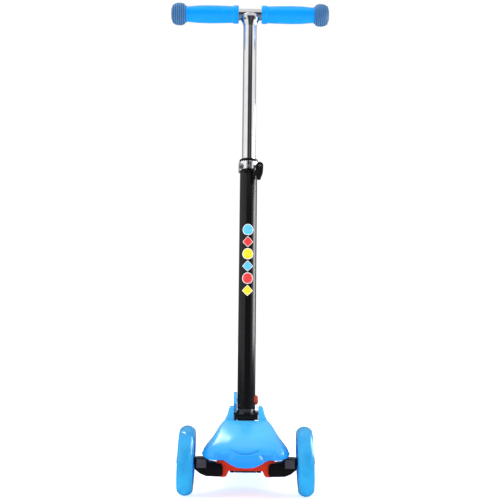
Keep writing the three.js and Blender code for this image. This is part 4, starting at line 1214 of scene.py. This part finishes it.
def grips():
    """Soft grips: a flange, a smooth body, a neck, and a ribbed bulb over the bar's end."""
    outer = [
        (16.8, 22, 0.8), (17.3, 24, 1), (17.3, 31, 1.2), (15.8, 34, 1.5), (16.4, 50, 20), (17, 78, 40),
        (16.4, 100, 30), (14.6, 119.5, 4), (14.8, 121.5, 0.6), (16, 122, 0.6), (16, 124.2, 0.6),
        (19.5, 126.4, 2), (21.4, 130.5, 5), (21.75, 137, 8), (20.8, 143, 6), (17.5, 148.5, 5), (10, 151, 4),
        (0, 151),
    ]
    path = rounded([(11.3, 22), *outer], steps=6)
    ridged = []
    for start, end in zip(path, path[1:]):
        pieces = max(1, int((end - start).length / 0.5))
        for k in range(pieces):
            ridged.append(start.lerp(end, k / pieces))
    ridged.append(path[-1])

    def ripple(angle, along):
        bulb = eased(abs(along), 126, 128.5) * (1 - eased(abs(along), 146, 149))
        return 1 - 0.02 * bulb * (1 - math.cos(2 * math.pi * along / RIB_PITCH))

    for name, side in SIDES:
        profile = [(max(point.x, 0), side * point.y) for point in ridged]
        profile += [(0, side * 140.3), (11.3, side * 140.3)]
        grip = lathe(f"{name}_soft_grip", profile, CROSSBAR, "x", sides=144, closed=True, ripple=ripple)
        fit(grip, "handlebar", GRIP_BLUE, "grip_blue", f"{name}_grip")


def inner_nodes():
    """Pieces that stay as the CAD has them, with a better material."""
    finishes = {
        "left_wheel_spacer": ZINC,
        "right_wheel_spacer": ZINC,
        "rear_wheel_spacer": ZINC,
        "tube_foot": BLACK,
    }
    for node, material in finishes.items():
        obj = frame["nodes"][node]
        obj.data.materials.clear()
        obj.data.materials.append(material)


# ---- stage
def studio_paper():
    """White paper that glossy surfaces mirror as grey, so that chrome stands out from it on every side."""
    m = Material("studio_paper")
    in_gloss = m.add("ShaderNodeLightPath").outputs["Is Glossy Ray"]
    white = m.mottle(220, 3, (1, 1, 1), 0.93, 0.96)
    m.set(Base_Color=m.blend(in_gloss, white, (0.2, 0.2, 0.21)), Roughness=0.7, IOR=1.3)
    m.set(Emission_Color=(1, 1, 1, 1), Emission_Strength=m.ramp(in_gloss, 0, 1, 0.65, 0))
    return m.material


def soft_light(name, place, target, width, height, power, lights=True, mirrored=True):
    """An area light. One that lights nothing is only a card for glossy surfaces to mirror."""
    light = bpy.data.lights.new(name, "AREA")
    light.shape = "RECTANGLE"
    light.size = width
    light.size_y = height
    light.energy = power
    obj = bpy.data.objects.new(name, light)
    obj.location = place
    obj.rotation_euler = (Vector(target) - Vector(place)).to_track_quat("-Z", "Y").to_euler()
    obj.visible_diffuse = lights
    obj.visible_transmission = lights
    obj.visible_glossy = mirrored
    bpy.context.scene.collection.objects.link(obj)


ROOM_LIGHT = 0.5  # the pale room's own brightness
# What glossy surfaces mirror of the room: (degrees to the right of the front, brightness).
ROOM_IN_GLOSS = [
    (-180, 0.35), (-112, 0.35), (-104, 0.9), (-34, 1.0), (-22, 0.05), (6, 0.04), (12, 0.2), (18, 0.04),
    (44, 0.05), (54, 1.0), (104, 0.9), (124, 0.5), (180, 0.35),
]
CEILING_FROM, CEILING_TO = 0.5, 0.7  # the upward part of the direction where the walls turn into ceiling
CEILING_IN_GLOSS = 0.75


def room_in_gloss(nodes):
    """The mirrored room's colour, from the direction of the reflected ray."""
    direction = nodes.add("ShaderNodeTexCoord").outputs["Generated"]
    ahead = nodes.calc("MULTIPLY", nodes.coordinate(direction, "Y"), -1)
    compass = nodes.calc("ARCTAN2", nodes.coordinate(direction, "X"), ahead)
    bands = nodes.add("ShaderNodeValToRGB")
    stops = bands.color_ramp.elements
    while len(stops) < len(ROOM_IN_GLOSS):
        stops.new(0.5)
    for stop, (degrees, brightness) in zip(stops, ROOM_IN_GLOSS):
        stop.position = (degrees + 180) / 360
        stop.color = (brightness, brightness, brightness, 1)
    nodes.link(nodes.ramp(compass, -math.pi, math.pi), bands.inputs["Fac"])
    overhead = nodes.ramp(nodes.coordinate(direction, "Z"), CEILING_FROM, CEILING_TO)
    return nodes.blend(overhead, bands.outputs["Color"], (CEILING_IN_GLOSS,) * 3)


def room():
    """A dim pale room for plain light, its own picture in gloss, and white for the camera."""
    world = bpy.data.worlds.new("studio")
    world.use_nodes = True
    bpy.context.scene.world = world
    nodes = Nodes(world.node_tree)
    path = nodes.add("ShaderNodeLightPath")
    shader = nodes.tree.nodes["Background"]
    shader.inputs["Color"].default_value = (1, 1, 1, 1)
    shader.inputs["Strength"].default_value = ROOM_LIGHT
    for ray, colour in (("Is Glossy Ray", room_in_gloss(nodes)), ("Is Camera Ray", (1, 1, 1, 1))):
        seen = nodes.add("ShaderNodeBackground")
        nodes.feed(seen.inputs["Color"], colour)
        mix = nodes.add("ShaderNodeMixShader")
        nodes.link(path.outputs[ray], mix.inputs["Fac"])
        nodes.link(shader.outputs[0], mix.inputs[1])
        nodes.link(seen.outputs[0], mix.inputs[2])
        shader = mix
    nodes.link(shader.outputs[0], nodes.tree.nodes["World Output"].inputs["Surface"])


def floor():
    bm = bmesh.new()
    half = 12
    corners = ((-half, -half, 0), (half, -half, 0), (half, half, 0), (-half, half, 0))
    bm.faces.new([bm.verts.new(corner) for corner in corners])
    mesh = bpy.data.meshes.new("floor")
    bm.to_mesh(mesh)
    bm.free()
    obj = bpy.data.objects.new("floor", mesh)
    bpy.context.scene.collection.objects.link(obj)
    mesh.materials.append(studio_paper())


def lights():
    """Three soft banks that light the scooter, and two cards that only show as streaks in its gloss."""
    soft_light("left_bank", (-1.5, FRONT - 0.7, 0.8), (0, FRONT, 0.45), 0.9, 1.8, 13, mirrored=False)
    soft_light("right_bank", (1.5, FRONT - 0.4, 0.7), (0, FRONT, 0.45), 0.7, 1.4, 9, mirrored=False)
    soft_light("top_bank", (0.1, FRONT - 0.1, 2.3), (0, FRONT, 0.3), 1.2, 1.2, 24, mirrored=False)
    soft_light("housing_streak", (-0.95, FRONT + 1.08, 2.4), (0, FRONT, 0.1), 0.34, 1.5, 17, lights=False)
    soft_light("tube_streak", (1.18, FRONT + 0.24, 0.66), (0, FRONT, 0.5), 0.9, 0.8, 21, lights=False)


CAMERA_AWAY = 1.8  # metres in front of the front wheels
CAMERA_HEIGHT = 0.3
CAMERA_PITCH, CAMERA_ROLL = 3.8, 0.58  # degrees up, and anticlockwise


def camera():
    """Low in front of the scooter and tipped up a little."""
    data = bpy.data.cameras.new("catalogue_view")
    data.sensor_width = 36
    data.lens = 73.9
    data.shift_x = 0.0045
    data.shift_y = 0.008
    data.clip_end = 60
    obj = bpy.data.objects.new("catalogue_view", data)
    pitch = Matrix.Rotation(math.radians(90 + CAMERA_PITCH), 4, "X")
    roll = Matrix.Rotation(math.radians(CAMERA_ROLL), 4, "Z")
    obj.matrix_world = Matrix.Translation((0, FRONT - CAMERA_AWAY, CAMERA_HEIGHT)) @ pitch @ roll
    bpy.context.scene.collection.objects.link(obj)
    bpy.context.scene.camera = obj


camera()
room()
floor()
lights()
for side_name, side_sign in SIDES:
    front_wheel(side_name, side_sign)
arms()
red_shell()
underbody_screws()
lean_bush()
bracket()
kingpin()
housing()
cover_screws()
latch()
hinge_fasteners()
deck()
mat()
deck_screws()
rear_wheel()
brake()
hinge_block()
lower_tube()
transfers()
release()
collar()
tube_lip()
skewer()
lever()
upper_tube()
crossbar()
weld()
grips()
inner_nodes()

bpy.context.scene.view_settings.view_transform = "Standard"
bpy.context.view_layer.update()
